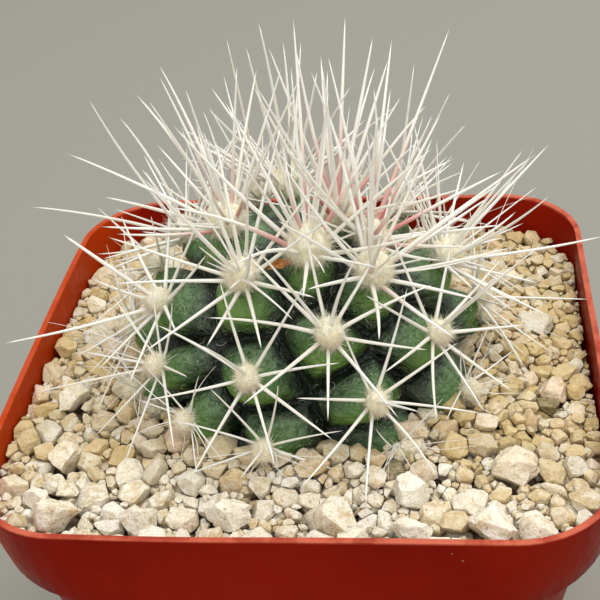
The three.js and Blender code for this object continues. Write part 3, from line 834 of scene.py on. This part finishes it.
def makeBristles(areole, template, random):
    # finer, shorter spines that stand close round a young cushion
    pieces = []
    turn = turnTo(areole["outward"])
    for spin in random.uniform(0, 2 * math.pi, bristle["count"]):
        rise = math.radians(random.uniform(*bristle["rise"]))
        heading = turn @ directionAt(math.pi / 2 - rise, spin)
        start = areole["centre"] + heading * 0.3 * areole["radius"]
        tip = start + heading * random.uniform(*bristle["length"]) * mm
        thick = spine["base"] * random.uniform(0.5, 0.75)
        piece = placeSpine(template, start, tip, thick, bristle["bow"] * random.normal(), random)
        setMask(piece.data, "blush", 0)
        setMask(piece.data, "tone", random.uniform(0.4, 1))
        pieces.append(piece)
    return pieces


def makeSpines(areole, index, template, random):
    pieces = [makeHairs(areole, random)] if areole["age"] >= hair["fromAge"] else []
    if areole["age"] <= bristle["untilAge"] or areole["age"] in bristle["alsoAges"]:
        pieces += makeBristles(areole, template, random)
    for tip in cadSpines(areole["node"], areole["centre"], areole["radius"]):
        heading = (tip - areole["centre"]).normalized()
        start = areole["centre"] + (0.3 * heading - 0.3 * areole["outward"]) * areole["radius"]
        # the crown's spines stand a little taller than their plain spikes
        tip = start + (tip - start) * (spine["taller"] if areole["age"] < spine["tallerUntil"] else 1.0)
        grown = np.interp(areole["age"], (2, 8, 17, 22, 28), (1.12, 0.98, 0.82, 0.6, 0.48))
        thick = spine["base"] * grown * random.uniform(0.88, 1.1)
        piece = placeSpine(template, start, tip, thick, 0.018 * random.normal(), random)
        youth = np.clip(1 - (areole["age"] - 3) / 4, 0, 1)
        blush = youth * (random.random() < 0.26) * random.uniform(0.6, 1)
        setMask(piece.data, "blush", blush)
        setMask(piece.data, "tone", random.random())
        pieces.append(piece)
    return joinPieces(pieces, f"spines_{index + 1:02d}")


def spineMaterial():
    material, tree, shader = newMaterial("ivorySpine")
    coords = objectCoords(tree)
    along, blush, tone = attribute(tree, "along"), attribute(tree, "blush"), attribute(tree, "tone")
    ivory = mixColor(tree, tone, (0.79, 0.77, 0.69), (0.85, 0.845, 0.8))
    cloud = remap(tree, noiseNode(tree, coords, 0.8 * mm, 3), 0.3, 0.7, 0.0, 0.35)
    ivory = mixColor(tree, cloud, ivory, (0.8, 0.73, 0.58))
    band = times(tree, remap(tree, along, 0.62, 0.18), blush)
    color = mixColor(tree, times(tree, band, 0.85), ivory, (0.55, 0.07, 0.075))
    tree.links.new(color, shader.inputs["Base Color"])
    rough = remap(tree, cloud, 0.0, 0.35, 0.38, 0.55)
    tree.links.new(rough, shader.inputs["Roughness"])
    fine = noiseNode(tree, coords, 0.12 * mm, 2)
    tree.links.new(bumpNode(tree, fine, 0.01 * mm, 0.5), shader.inputs["Normal"])
    shader.inputs["Subsurface Weight"].default_value = 0.3
    shader.inputs["Subsurface Radius"].default_value = (0.5 * mm, 0.4 * mm, 0.3 * mm)
    shader.inputs["Subsurface Scale"].default_value = 1.0
    return material


def makeAreoles():
    random = np.random.default_rng(spine["seed"])
    template = makeSpineTemplate()
    woolFinish, spineFinish = woolMaterial(), spineMaterial()
    shown = [t for t in tubercles if t["tip"].z > gravelLevel(t["tip"].x, t["tip"].y) - 0.3 * mm]
    for index, areole in enumerate(shown):
        share = min(1, max(0, areole["age"] - 2) / wool["settled"])
        isBud = areole["age"] in (1, 3)
        areole["radius"] = wool["bud"] if isBud else lerp(wool["young"], wool["old"], share)
        areole["centre"] = areole["tip"] + areole["outward"] * 0.45 * areole["radius"]
        areole["node"] = f"areole_{index + 1:02d}"
        cushion = makeWool(areole, index, random)
        finishPiece(cushion, woolFinish, "wool_and_spines", areole["node"])
        spines = makeSpines(areole, index, template, random)
        finishPiece(spines, spineFinish, "wool_and_spines", areole["node"])
    bpy.data.objects.remove(template)
    return shown


areoles = makeAreoles()
finishPiece(makeLint(stemSkin.data), bpy.data.materials["creamWool"], "wool_and_spines")
print("areoles made", len(areoles))


# crushed stones are dropped one by one into the pot, then fitted to their neighbours
# half length, spread, how many failed tries end the stage, and how far tops may stand out
grades = [(2.4 * mm, 0.2, 240, 1.4 * mm), (1.75 * mm, 0.18, 240, 1.15 * mm),
          (1.1 * mm, 0.2, 300, 0.7 * mm), (0.64 * mm, 0.25, 360, 0.4 * mm)]


def makeStoneShape(index, cuts):
    # a ball broken by flat fractures that face all ways
    random = np.random.default_rng(100 + index)
    deselectAll()
    bpy.ops.mesh.primitive_ico_sphere_add(subdivisions=2, radius=1)
    piece = startPiece(f"stoneShape{index}")
    bpy.ops.object.mode_set(mode="EDIT")
    for cut in range(cuts):
        height = 1 - 2 * (cut + 0.5) / cuts
        spin = cut * 2.4
        direction = np.array([math.cos(spin), math.sin(spin), 0]) * math.sqrt(1 - height ** 2)
        direction += np.array([0, 0, height]) + random.normal(size=3) * 0.24
        direction /= np.linalg.norm(direction)
        reach = random.uniform(0.42, 0.74)
        bpy.ops.mesh.select_all(action="SELECT")
        bpy.ops.mesh.bisect(plane_co=tuple(direction * reach), plane_no=tuple(direction),
                            use_fill=True, clear_outer=True)
    bpy.ops.mesh.select_all(action="SELECT")
    bpy.ops.mesh.dissolve_limited(angle_limit=math.radians(14))
    bpy.ops.mesh.normals_make_consistent(inside=False)
    bpy.ops.object.mode_set(mode="OBJECT")
    coords = coordsOf(piece.data)
    coords -= (coords.max(0) + coords.min(0)) / 2
    coords /= (coords.max(0) - coords.min(0)) / 2
    setCoords(piece.data, coords)
    return piece


def insideHalf(height):
    # half width and corner radius of the space inside the collar
    share = (height - (rimHeight - pot["collar"])) / pot["collar"]
    return rimHalf - pot["wall"] - 0.1 * mm, lerp(15.1 * mm, 11 * mm, share)


def keepInside(coords):
    # whatever would stand in the pot's wall is pressed flat against it
    half, corner = insideHalf(gravel["centreLevel"])
    reach = half - corner
    coords[:, :2] = np.clip(coords[:, :2], -half, half)
    over = np.maximum(np.abs(coords[:, :2]) - reach, 0)
    length = np.hypot(over[:, 0], over[:, 1])
    shrink = np.where(length > corner, corner / np.maximum(length, 1e-9), 1)
    inner = np.minimum(np.abs(coords[:, :2]), reach)
    coords[:, :2] = np.sign(coords[:, :2]) * (inner + over * shrink[:, None])
    return coords


def stoneLevel(x, y):
    # the stones are heaped a little higher against the stem
    fromStem = (np.hypot(x, y) - stem["radius"]) / (5 * mm)
    return gravelLevel(x, y) + 0.9 * mm * np.exp(-fromStem ** 2)


def packStones(fixed):
    # each new stone settles in the lowest of a few places, as poured stones do
    random = np.random.default_rng(gravel["seed"])
    cell = gravel["cell"]
    half, corner = insideHalf(gravel["centreLevel"])
    axis = np.arange(-half, half + cell, cell)
    gridX, gridY = np.meshgrid(axis, axis, indexing="ij")
    ground = stoneLevel(gridX, gridY) - gravel["depth"]
    reach = half - corner
    outside = np.hypot(np.maximum(np.abs(gridX) - reach, 0), np.maximum(np.abs(gridY) - reach, 0)) > corner
    ground[outside] = 1
    azimuth = np.arctan2(gridY, gridX)
    flat = np.stack([np.cos(azimuth).ravel(), np.sin(azimuth).ravel(), np.full(azimuth.size, -0.06)], axis=1)
    flat /= np.linalg.norm(flat, axis=1)[:, None]
    stemReach = stemScale(flat)[0].reshape(azimuth.shape) * stem["radius"]
    ground[np.hypot(gridX, gridY) < stemReach - 0.1 * mm] = 1
    placed = []

    def footprint(x, y, size, turn):
        span = int(max(size[0], size[1]) / cell) + 1
        column, row = int(round((x + half) / cell)), int(round((y + half) / cell))
        window = (slice(max(column - span, 0), column + span + 1), slice(max(row - span, 0), row + span + 1))
        alongX, alongY = gridX[window] - x, gridY[window] - y
        c, s = math.cos(turn), math.sin(turn)
        share = ((alongX * c + alongY * s) / size[0]) ** 2 + ((alongY * c - alongX * s) / size[1]) ** 2
        return window, share

    def settle(x, y, size, turn):
        window, share = footprint(x, y, size, turn)
        under = share < 0.72
        if not under.any():
            return None
        cap = np.sqrt(np.clip(1 - share, 0, 1)) * size[2]
        return window, share, cap, (ground[window] + cap)[under].max()

    for stone in fixed:
        window, share = footprint(stone["x"], stone["y"], stone["size"], stone["turn"])
        cap = np.sqrt(np.clip(1 - share, 0, 1)) * stone["size"][2]
        covered = share < 0.9
        ground[window][covered] = np.maximum(ground[window][covered], (stone["z"] + cap)[covered])
    for typical, spread, patience, proud in grades:
        misses = 0
        while misses < patience:
            best = None
            for attempt in range(gravel["tries"]):
                x, y = random.uniform(-half, half, 2)
                chips = smoothStep(17 * mm, 27 * mm, x) * smoothStep(-26 * mm, -12 * mm, y)
                long = typical * lerp(1.0, gravel["chipSize"], chips) * math.exp(spread * random.normal())
                size = (long, long * random.uniform(0.66, 0.95), long * random.uniform(0.52, 0.8))
                turn = random.uniform(0, math.pi)
                rest = settle(x, y, size, turn)
                if rest is None:
                    continue
                over = rest[3] - stoneLevel(x, y)
                if best is None or over < best[0]:
                    best = (over, x, y, size, turn, rest)
            if best is None or best[0] + best[3][2] > proud:
                misses += 1
                continue
            over, x, y, size, turn, (window, share, cap, height) = best
            height -= 0.2 * size[2]
            covered = share < 0.85
            ground[window][covered] = np.maximum(ground[window][covered], (height + 0.86 * cap)[covered])
            placed.append({"x": x, "y": y, "z": height, "size": size, "turn": turn})
    return placed


def stoneTurn(stone):
    return np.array(Matrix.Rotation(stone["turn"], 3, "Z"))


def reachAlong(stone, direction):
    # how far a stone's rounded shape reaches from its centre in a direction
    local = stoneTurn(stone).T @ direction
    return stone["grown"] / math.sqrt(sum((local[i] / stone["size"][i]) ** 2 for i in range(3)))


def fitStone(mesh, stone, others):
    # neighbours that press into each other share a flat contact, halfway between them
    edit = bmesh.new()
    edit.from_mesh(mesh)
    centre = np.array([stone["x"], stone["y"], stone["z"]])
    for other in others:
        toOther = np.array([other["x"], other["y"], other["z"]]) - centre
        distance = np.linalg.norm(toOther)
        direction = toOther / distance
        mine, theirs = reachAlong(stone, direction), reachAlong(other, direction)
        if distance > mine + theirs or distance < 0.2 * mine:
            continue
        place = centre + direction * (distance * mine / (mine + theirs) - 0.06 * mm)
        cut = bmesh.ops.bisect_plane(edit, geom=edit.verts[:] + edit.edges[:] + edit.faces[:],
                                     plane_co=place, plane_no=direction, clear_outer=True)
        rim = [e for e in cut["geom_cut"] if isinstance(e, bmesh.types.BMEdge)]
        if rim:
            bmesh.ops.holes_fill(edit, edges=rim, sides=0)
    if len(edit.faces) > 3:
        bmesh.ops.remove_doubles(edit, verts=edit.verts[:], dist=0.09 * mm)
        bmesh.ops.dissolve_limit(edit, angle_limit=math.radians(8), verts=edit.verts[:], edges=edit.edges[:])
        sharp = [e for e in edit.edges if e.is_manifold and e.calc_face_angle() > math.radians(25)]
        bmesh.ops.bevel(edit, geom=sharp, offset=0.04 * max(stone["size"]), offset_type="OFFSET",
                        segments=1, profile=0.5, affect="EDGES", clamp_overlap=True)
        bmesh.ops.recalc_face_normals(edit, faces=edit.faces[:])
        bmesh.ops.triangulate(edit, faces=edit.faces[:])
        long = [e for e in edit.edges if e.calc_length() > 0.95 * mm]
        bmesh.ops.subdivide_edges(edit, edges=long, cuts=1)
        bmesh.ops.triangulate(edit, faces=edit.faces[:])
        for vertex in edit.verts:
            away = (vertex.co - Vector(centre)).normalized()
            chip = noise.noise(vertex.co / (0.9 * mm)) + 0.6 * noise.noise(vertex.co / (0.4 * mm))
            vertex.co += away * chip * 0.075 * max(stone["size"])
    edit.to_mesh(mesh)
    edit.free()


def copyStone(shape, stone, random, others=()):
    piece = shape.copy()
    piece.data = shape.data.copy()
    bpy.context.scene.collection.objects.link(piece)
    coords = coordsOf(piece.data)
    if others:
        roll = Matrix.Rotation(random.uniform(0, 6.28), 3, "X")
        spin = Matrix.Rotation(random.uniform(0, 6.28), 3, "Z")
        coords = coords @ np.array(roll @ spin).T
    coords = coords * np.array(stone["size"]) * stone["grown"]
    coords = coords @ stoneTurn(stone).T + np.array([stone["x"], stone["y"], stone["z"]])
    setCoords(piece.data, coords)
    if others:
        fitStone(piece.data, stone, others)
    setCoords(piece.data, keepInside(coordsOf(piece.data)))
    # the chips on the right are more stained than the rest, and the stones in front are painted paler:
    # painted light for the extra light that falls on them
    chips = smoothStep(14 * mm, 26 * mm, stone["x"]) * smoothStep(-34 * mm, -24 * mm, stone["y"])
    setMask(piece.data, "tone", stone.get("tone", random.random() ** (1 + 0.9 * chips)))
    setMask(piece.data, "stain", stone.get("stain", random.uniform(0.35 * chips, 1 + 0.15 * chips)))
    setMask(piece.data, "dark", stone.get("dark", 0))
    setMask(piece.data, "pale", smoothStep(-16 * mm, -30 * mm, stone["y"]))
    return piece


def stoneMaterial(name, pale, warm, stainColor, clear):
    material, tree, shader = newMaterial(name)
    coords = objectCoords(tree)
    tone, stain = attribute(tree, "tone"), attribute(tree, "stain")
    base = rampColor(tree, tone, [
        (0.0, warm), (0.14, (0.76, 0.62, 0.36)), (0.3, (0.66, 0.57, 0.43)), (0.45, pale),
        (0.6, (0.86, 0.7, 0.55)), (0.74, (0.9, 0.86, 0.74)), (0.88, (0.72, 0.7, 0.62)),
        (1.0, (0.93, 0.92, 0.85))])
    grain = useGroup(tree, grainGroup, coords, Scale=1100.0)
    highlightLineAndMottle = remap(tree, grain.outputs["Cloud"], 0.35, 0.65, 0.35, 1.0)
    mottled = mixColor(tree, highlightLineAndMottle, base, (0.78, 0.73, 0.6), "MULTIPLY")
    # painted light: the stones in front are painted paler where more light falls on them
    mottled = mixColor(tree, times(tree, attribute(tree, "pale"), 0.65), mottled, (0.95, 0.9, 0.79))
    # iron-ochre stains: some stones have much of it, and most have little
    cloud = noiseNode(tree, coords, 1.6 * mm, 6, 0.72)
    reach = mathNode(tree, "ADD", cloud, times(tree, stain, 0.3))
    stained = times(tree, remap(tree, reach, 0.6, 0.86), 0.75)
    color = mixColor(tree, stained, mottled, stainColor)
    # a thinner olive film lies in finer patches
    film = mathNode(tree, "ADD", noiseNode(tree, coords, 0.6 * mm, 5, 0.75), times(tree, stain, 0.14))
    color = mixColor(tree, times(tree, remap(tree, film, 0.54, 0.7), 0.6), color, (0.6, 0.49, 0.26))
    # fine veins and pits hold brown dust
    ripple = mathNode(tree, "SUBTRACT", noiseNode(tree, coords, 0.75 * mm, 5, 0.65), 0.5)
    vein = mathNode(tree, "ABSOLUTE", ripple)
    dusty = times(tree, remap(tree, vein, 0.03, 0.0), remap(tree, cloud, 0.42, 0.6))
    color = mixColor(tree, times(tree, dusty, 0.7), color, (0.36, 0.23, 0.09))
    dirt = useGroup(tree, speckGroup, coords, Scale=1500.0, Size=0.26, Share=0.1).outputs["Mask"]
    color = mixColor(tree, times(tree, dirt, 0.5), color, (0.2, 0.13, 0.06))
    porous = remap(tree, grain.outputs["Height"], 0.62, 0.4, 0.45, 0.95)
    porous = times(tree, attribute(tree, "dark"), porous)
    color = mixColor(tree, porous, color, (0.14, 0.11, 0.045))
    tree.links.new(color, shader.inputs["Base Color"])
    rough = remap(tree, grain.outputs["Cloud"], 0.3, 0.7, 0.45 if clear else 0.62, 0.7 if clear else 0.9)
    tree.links.new(rough, shader.inputs["Roughness"])
    facets = addNode(tree, "ShaderNodeTexVoronoi", Vector=coords, Scale=800.0).outputs["Distance"]
    broken = bumpNode(tree, facets, 0.35 * mm, 0.35)
    tree.links.new(bumpNode(tree, grain.outputs["Height"], 0.85 * mm, 0.85, broken), shader.inputs["Normal"])
    shader.inputs["Subsurface Weight"].default_value = 0.45 if clear else 0.12
    shader.inputs["Subsurface Radius"].default_value = (1.4 * mm, 1.2 * mm, 0.9 * mm)
    shader.inputs["Subsurface Scale"].default_value = 1.0
    return material


def largeStones():
    # where the CAD keeps its single large stones
    stones = []
    for name in sorted(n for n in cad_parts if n.startswith("stone_")):
        low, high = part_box(name)
        centre, half = (low + high) / 2, (high - low) / 2
        stones.append({"node": name, "x": centre.x, "y": centre.y, "z": centre.z,
                       "size": (half.x, half.y, half.z), "turn": 0.0})
    return stones


def makeGravel():
    random = np.random.default_rng(gravel["seed"] + 1)
    big = largeStones()
    small = packStones(big)
    print("stones packed", len(small))
    for stone in big:
        stone["grown"] = 1.0
    for stone in small:
        stone["grown"] = gravel["grown"]
    everyone = small + big
    for x, y in gravel["darkStones"]:
        min(small, key=lambda s: math.hypot(s["x"] - x, s["y"] - y) - 0.7 * s["size"][0])["dark"] = 1
    centres = np.array([[s["x"], s["y"], s["z"]] for s in everyone])
    sizes = np.array([max(s["size"]) * s["grown"] for s in everyone])
    shapes = [makeStoneShape(i, 9 + i % 4) for i in range(gravel["shapes"])]
    ochre = stoneMaterial("ochreStone", (0.88, 0.8, 0.62), (0.7, 0.53, 0.26), (0.48, 0.31, 0.1), False)
    quartz = stoneMaterial("quartzStone", (0.9, 0.85, 0.73), (0.84, 0.66, 0.5), (0.6, 0.41, 0.18), True)
    heaps = {"gravel_ochre_left": [], "gravel_ochre_right": [], "gravel_quartz": []}
    for index, stone in enumerate(small):
        apart = np.linalg.norm(centres - centres[index], axis=1)
        close = np.nonzero((apart < sizes + sizes[index]) & (apart > 0))[0]
        shape = shapes[random.integers(len(shapes))]
        side = "left" if stone["x"] < 0 else "right"
        heap = "gravel_quartz" if random.random() < gravel["quartzShare"] else f"gravel_ochre_{side}"
        piece = copyStone(shape, stone, random, [everyone[i] for i in close])
        heaps[heap].append(piece)
    for name, stones in heaps.items():
        finish = quartz if name == "gravel_quartz" else ochre
        heap = joinPieces(stones, name)
        smoothByAngle(heap, 20)
        print(name, len(heap.data.polygons))
        finishPiece(heap, finish, "gravel", "gravel_bed")
    for index, stone in enumerate(big):
        stone["tone"], stone["stain"] = random.uniform(0.42, 0.84), random.uniform(0, 0.6)
        piece = makeLargeStone(index, stone, random)
        finishPiece(piece, quartz if index % 3 == 0 else ochre, "large_stones", stone["node"])
    for shape in shapes:
        bpy.data.objects.remove(shape)
    finishPiece(makeGravelBase(), soilMaterial(), "gravel", "gravel_bed")


def makeLargeStone(index, stone, random):
    shape = makeStoneShape(40 + index, 11)
    makeActive(shape)
    applyModifier(shape, "BEVEL", width=0.035, segments=2, limit_method="ANGLE", angle_limit=math.radians(20))
    bpy.ops.object.mode_set(mode="EDIT")
    bpy.ops.mesh.select_all(action="SELECT")
    bpy.ops.mesh.quads_convert_to_tris()
    bpy.ops.mesh.subdivide(number_cuts=3)
    bpy.ops.object.mode_set(mode="OBJECT")
    coords = coordsOf(shape.data)
    chips = noiseAt(coords, 0.5, index + 0.3) * 0.15 + noiseAt(coords, 0.17, index + 4.0) * 0.07
    coords *= (1 + chips)[:, None]
    setCoords(shape.data, coords)
    piece = copyStone(shape, stone, random)
    bpy.data.objects.remove(shape)
    piece.name = f"big_stone_{index + 1:02d}"
    piece.data.name = piece.name
    smoothByAngle(piece, 30)
    return piece


fines = {"gap": 0.1 * mm, "cells": 90, "depth": 2.4 * mm, "thickness": 1.2 * mm,
         "lump": 0.7 * mm, "lumpSize": 1.1 * mm}


def makeGravelBase():
    # the dark bed of fines that closes the gaps between the stones
    half, corner = insideHalf(gravel["centreLevel"])
    radius = half - fines["gap"]
    deselectAll()
    cells = fines["cells"]
    bpy.ops.mesh.primitive_grid_add(x_subdivisions=cells, y_subdivisions=cells, size=2 * radius)
    piece = startPiece("gravel_fines")
    coords = coordsOf(piece.data)
    # squeezes the square grid's corners onto the pot's rounded corners
    reach = radius - corner
    over = np.maximum(np.abs(coords[:, :2]) - reach, 0)
    length = np.hypot(over[:, 0], over[:, 1]) + 1e-12
    longest = np.maximum(over[:, 0], over[:, 1])
    inner = np.minimum(np.abs(coords[:, :2]), reach)
    coords[:, :2] = np.sign(coords[:, :2]) * (inner + over * (longest / length)[:, None])
    coords[:, 2] = gravelLevel(coords[:, 0], coords[:, 1]) - fines["depth"]
    coords[:, 2] += noiseAt(coords, fines["lumpSize"], 2.0) * fines["lump"]
    setCoords(piece.data, coords)
    bpy.ops.object.mode_set(mode="EDIT")
    bpy.ops.mesh.select_all(action="SELECT")
    bpy.ops.mesh.extrude_region_move(TRANSFORM_OT_translate={"value": (0, 0, -fines["thickness"])})
    bpy.ops.mesh.select_all(action="SELECT")
    bpy.ops.mesh.normals_make_consistent(inside=False)
    bpy.ops.object.mode_set(mode="OBJECT")
    bpy.ops.object.shade_smooth()
    return piece


def soilMaterial():
    material, tree, shader = newMaterial("darkFines")
    coords = objectCoords(tree)
    grain = useGroup(tree, grainGroup, coords, Scale=900.0)
    crumbs = addNode(tree, "ShaderNodeTexVoronoi", Vector=coords, Scale=900.0)
    cloud = remap(tree, grain.outputs["Cloud"], 0.35, 0.65)
    color = mixColor(tree, cloud, (0.16, 0.11, 0.06), (0.36, 0.27, 0.17))
    color = mixColor(tree, remap(tree, crumbs.outputs["Distance"], 0.1, 0.6), color, (0.09, 0.06, 0.035))
    tree.links.new(color, shader.inputs["Base Color"])
    tree.links.new(remap(tree, grain.outputs["Height"], 0.3, 0.7, 0.85, 1.0), shader.inputs["Roughness"])
    broken = bumpNode(tree, crumbs.outputs["Distance"], 0.5 * mm, 0.8)
    tree.links.new(bumpNode(tree, grain.outputs["Height"], 0.4 * mm, 0.8, broken), shader.inputs["Normal"])
    return material


makeGravel()
print("gravel made")


# the dried scrap and the potting mix
def scrapMaterial():
    material, tree, shader = newMaterial("driedAmber")
    coords = objectCoords(tree)
    cloud = noiseNode(tree, coords, 0.7 * mm, 4, 0.6)
    color = rampColor(tree, cloud, [
        (0.3, (0.2, 0.06, 0.01)), (0.55, (0.52, 0.21, 0.035)), (0.75, (0.72, 0.42, 0.14))])
    tree.links.new(color, shader.inputs["Base Color"])
    tree.links.new(remap(tree, cloud, 0.3, 0.7, 0.35, 0.7), shader.inputs["Roughness"])
    tree.links.new(bumpNode(tree, noiseNode(tree, coords, 0.2 * mm, 3), 0.08 * mm), shader.inputs["Normal"])
    return material


scrap = {"length": 3.3 * mm, "width": 1.2 * mm, "curl": 0.9 * mm, "thickness": 0.12 * mm, "lift": 0.5 * mm,
         "tiltY": math.radians(-14), "tiltX": math.radians(28)}


def makeScrap():
    # a shrivelled flake, cupped and creased
    low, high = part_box("dried_flower_scrap")
    centre = (low + high) / 2
    deselectAll()
    bpy.ops.mesh.primitive_grid_add(x_subdivisions=26, y_subdivisions=12, size=1)
    piece = startPiece("scrap")
    coords = coordsOf(piece.data)
    narrow = np.sqrt(np.clip(1 - (2 * coords[:, 0]) ** 2, 0.02, 1))
    coords[:, 1] *= narrow
    curl = 0.5 * (2 * coords[:, 1]) ** 2 + 0.5 * noiseAt(coords, 0.22, 1.0)
    coords[:, 2] = curl
    coords *= np.array([scrap["length"], scrap["width"], scrap["curl"]])
    tilt = Matrix.Rotation(scrap["tiltY"], 3, "Y") @ Matrix.Rotation(scrap["tiltX"], 3, "X")
    coords = coords @ np.array(tilt).T + np.array(centre + Vector((0, 0, scrap["lift"])))
    setCoords(piece.data, coords)
    applyModifier(piece, "SOLIDIFY", thickness=scrap["thickness"])
    bpy.ops.object.shade_smooth()
    return piece


pottingMix = {"voxel": 1.1 * mm, "lump": 0.02, "lumpSize": 2.2 * mm}


def makePottingMix():
    # the CAD block of mix with a crumbled surface
    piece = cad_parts["potting_mix"].copy()
    piece.data = piece.data.copy()
    piece.parent = None
    bpy.context.scene.collection.objects.link(piece)
    for key in list(piece.keys()):
        del piece[key]
    makeActive(piece)
    piece.name = "soil_block"
    piece.data.name = "soil_block"
    bpy.ops.object.mode_set(mode="EDIT")
    bpy.ops.mesh.select_all(action="SELECT")
    bpy.ops.mesh.remove_doubles(threshold=0.01 * mm)
    bpy.ops.object.mode_set(mode="OBJECT")
    applyModifier(piece, "REMESH", mode="VOXEL", voxel_size=pottingMix["voxel"])
    coords = coordsOf(piece.data)
    centre = coords.mean(0)
    shrink = 1 - pottingMix["lump"] * (0.6 + noiseAt(coords, pottingMix["lumpSize"], 6.0))
    setCoords(piece.data, centre + (coords - centre) * shrink[:, None])
    bpy.ops.object.shade_smooth()
    return piece


finishPiece(makeScrap(), scrapMaterial(), "dried_flower", "dried_flower_scrap")
finishPiece(makePottingMix(), bpy.data.materials["darkFines"], "potting_mix", "potting_mix")
print("scrap and potting mix made")


# floor and light
studio = {"floor": (0.25, 0.243, 0.209), "world": (1.0, 0.985, 0.95), "worldStrength": 0.66,
          "size": 0.9, "aim": (0, 0, 0.06),
          "key": ((0.2, 0.16, 0.85), 7.4), "fill": ((-0.02, -0.6, 0.42), 1.9)}


def makeStudio():
    deselectAll()
    bpy.ops.mesh.primitive_plane_add(size=6)
    floor = startPiece("floor")
    material, tree, shader = newMaterial("paleFloor")
    shader.inputs["Base Color"].default_value = (*studio["floor"], 1)
    shader.inputs["Roughness"].default_value = 0.9
    floor.data.materials.append(material)
    world = bpy.context.scene.world or bpy.data.worlds.new("studio")
    bpy.context.scene.world = world
    world.use_nodes = True
    background = world.node_tree.nodes["Background"]
    background.inputs["Color"].default_value = (*studio["world"], 1)
    background.inputs["Strength"].default_value = studio["worldStrength"]
    for name in ("key", "fill"):
        place, energy = studio[name]
        bpy.ops.object.light_add(type="AREA", location=place)
        light = bpy.context.object
        light.name = name
        light.data.shape = "DISK"
        light.data.size = studio["size"]
        light.data.energy = energy
        light.rotation_euler = (Vector(studio["aim"]) - Vector(place)).to_track_quat("-Z", "Y").to_euler()
    bpy.context.scene.view_settings.view_transform = "Standard"


makeStudio()
print("scene ready")
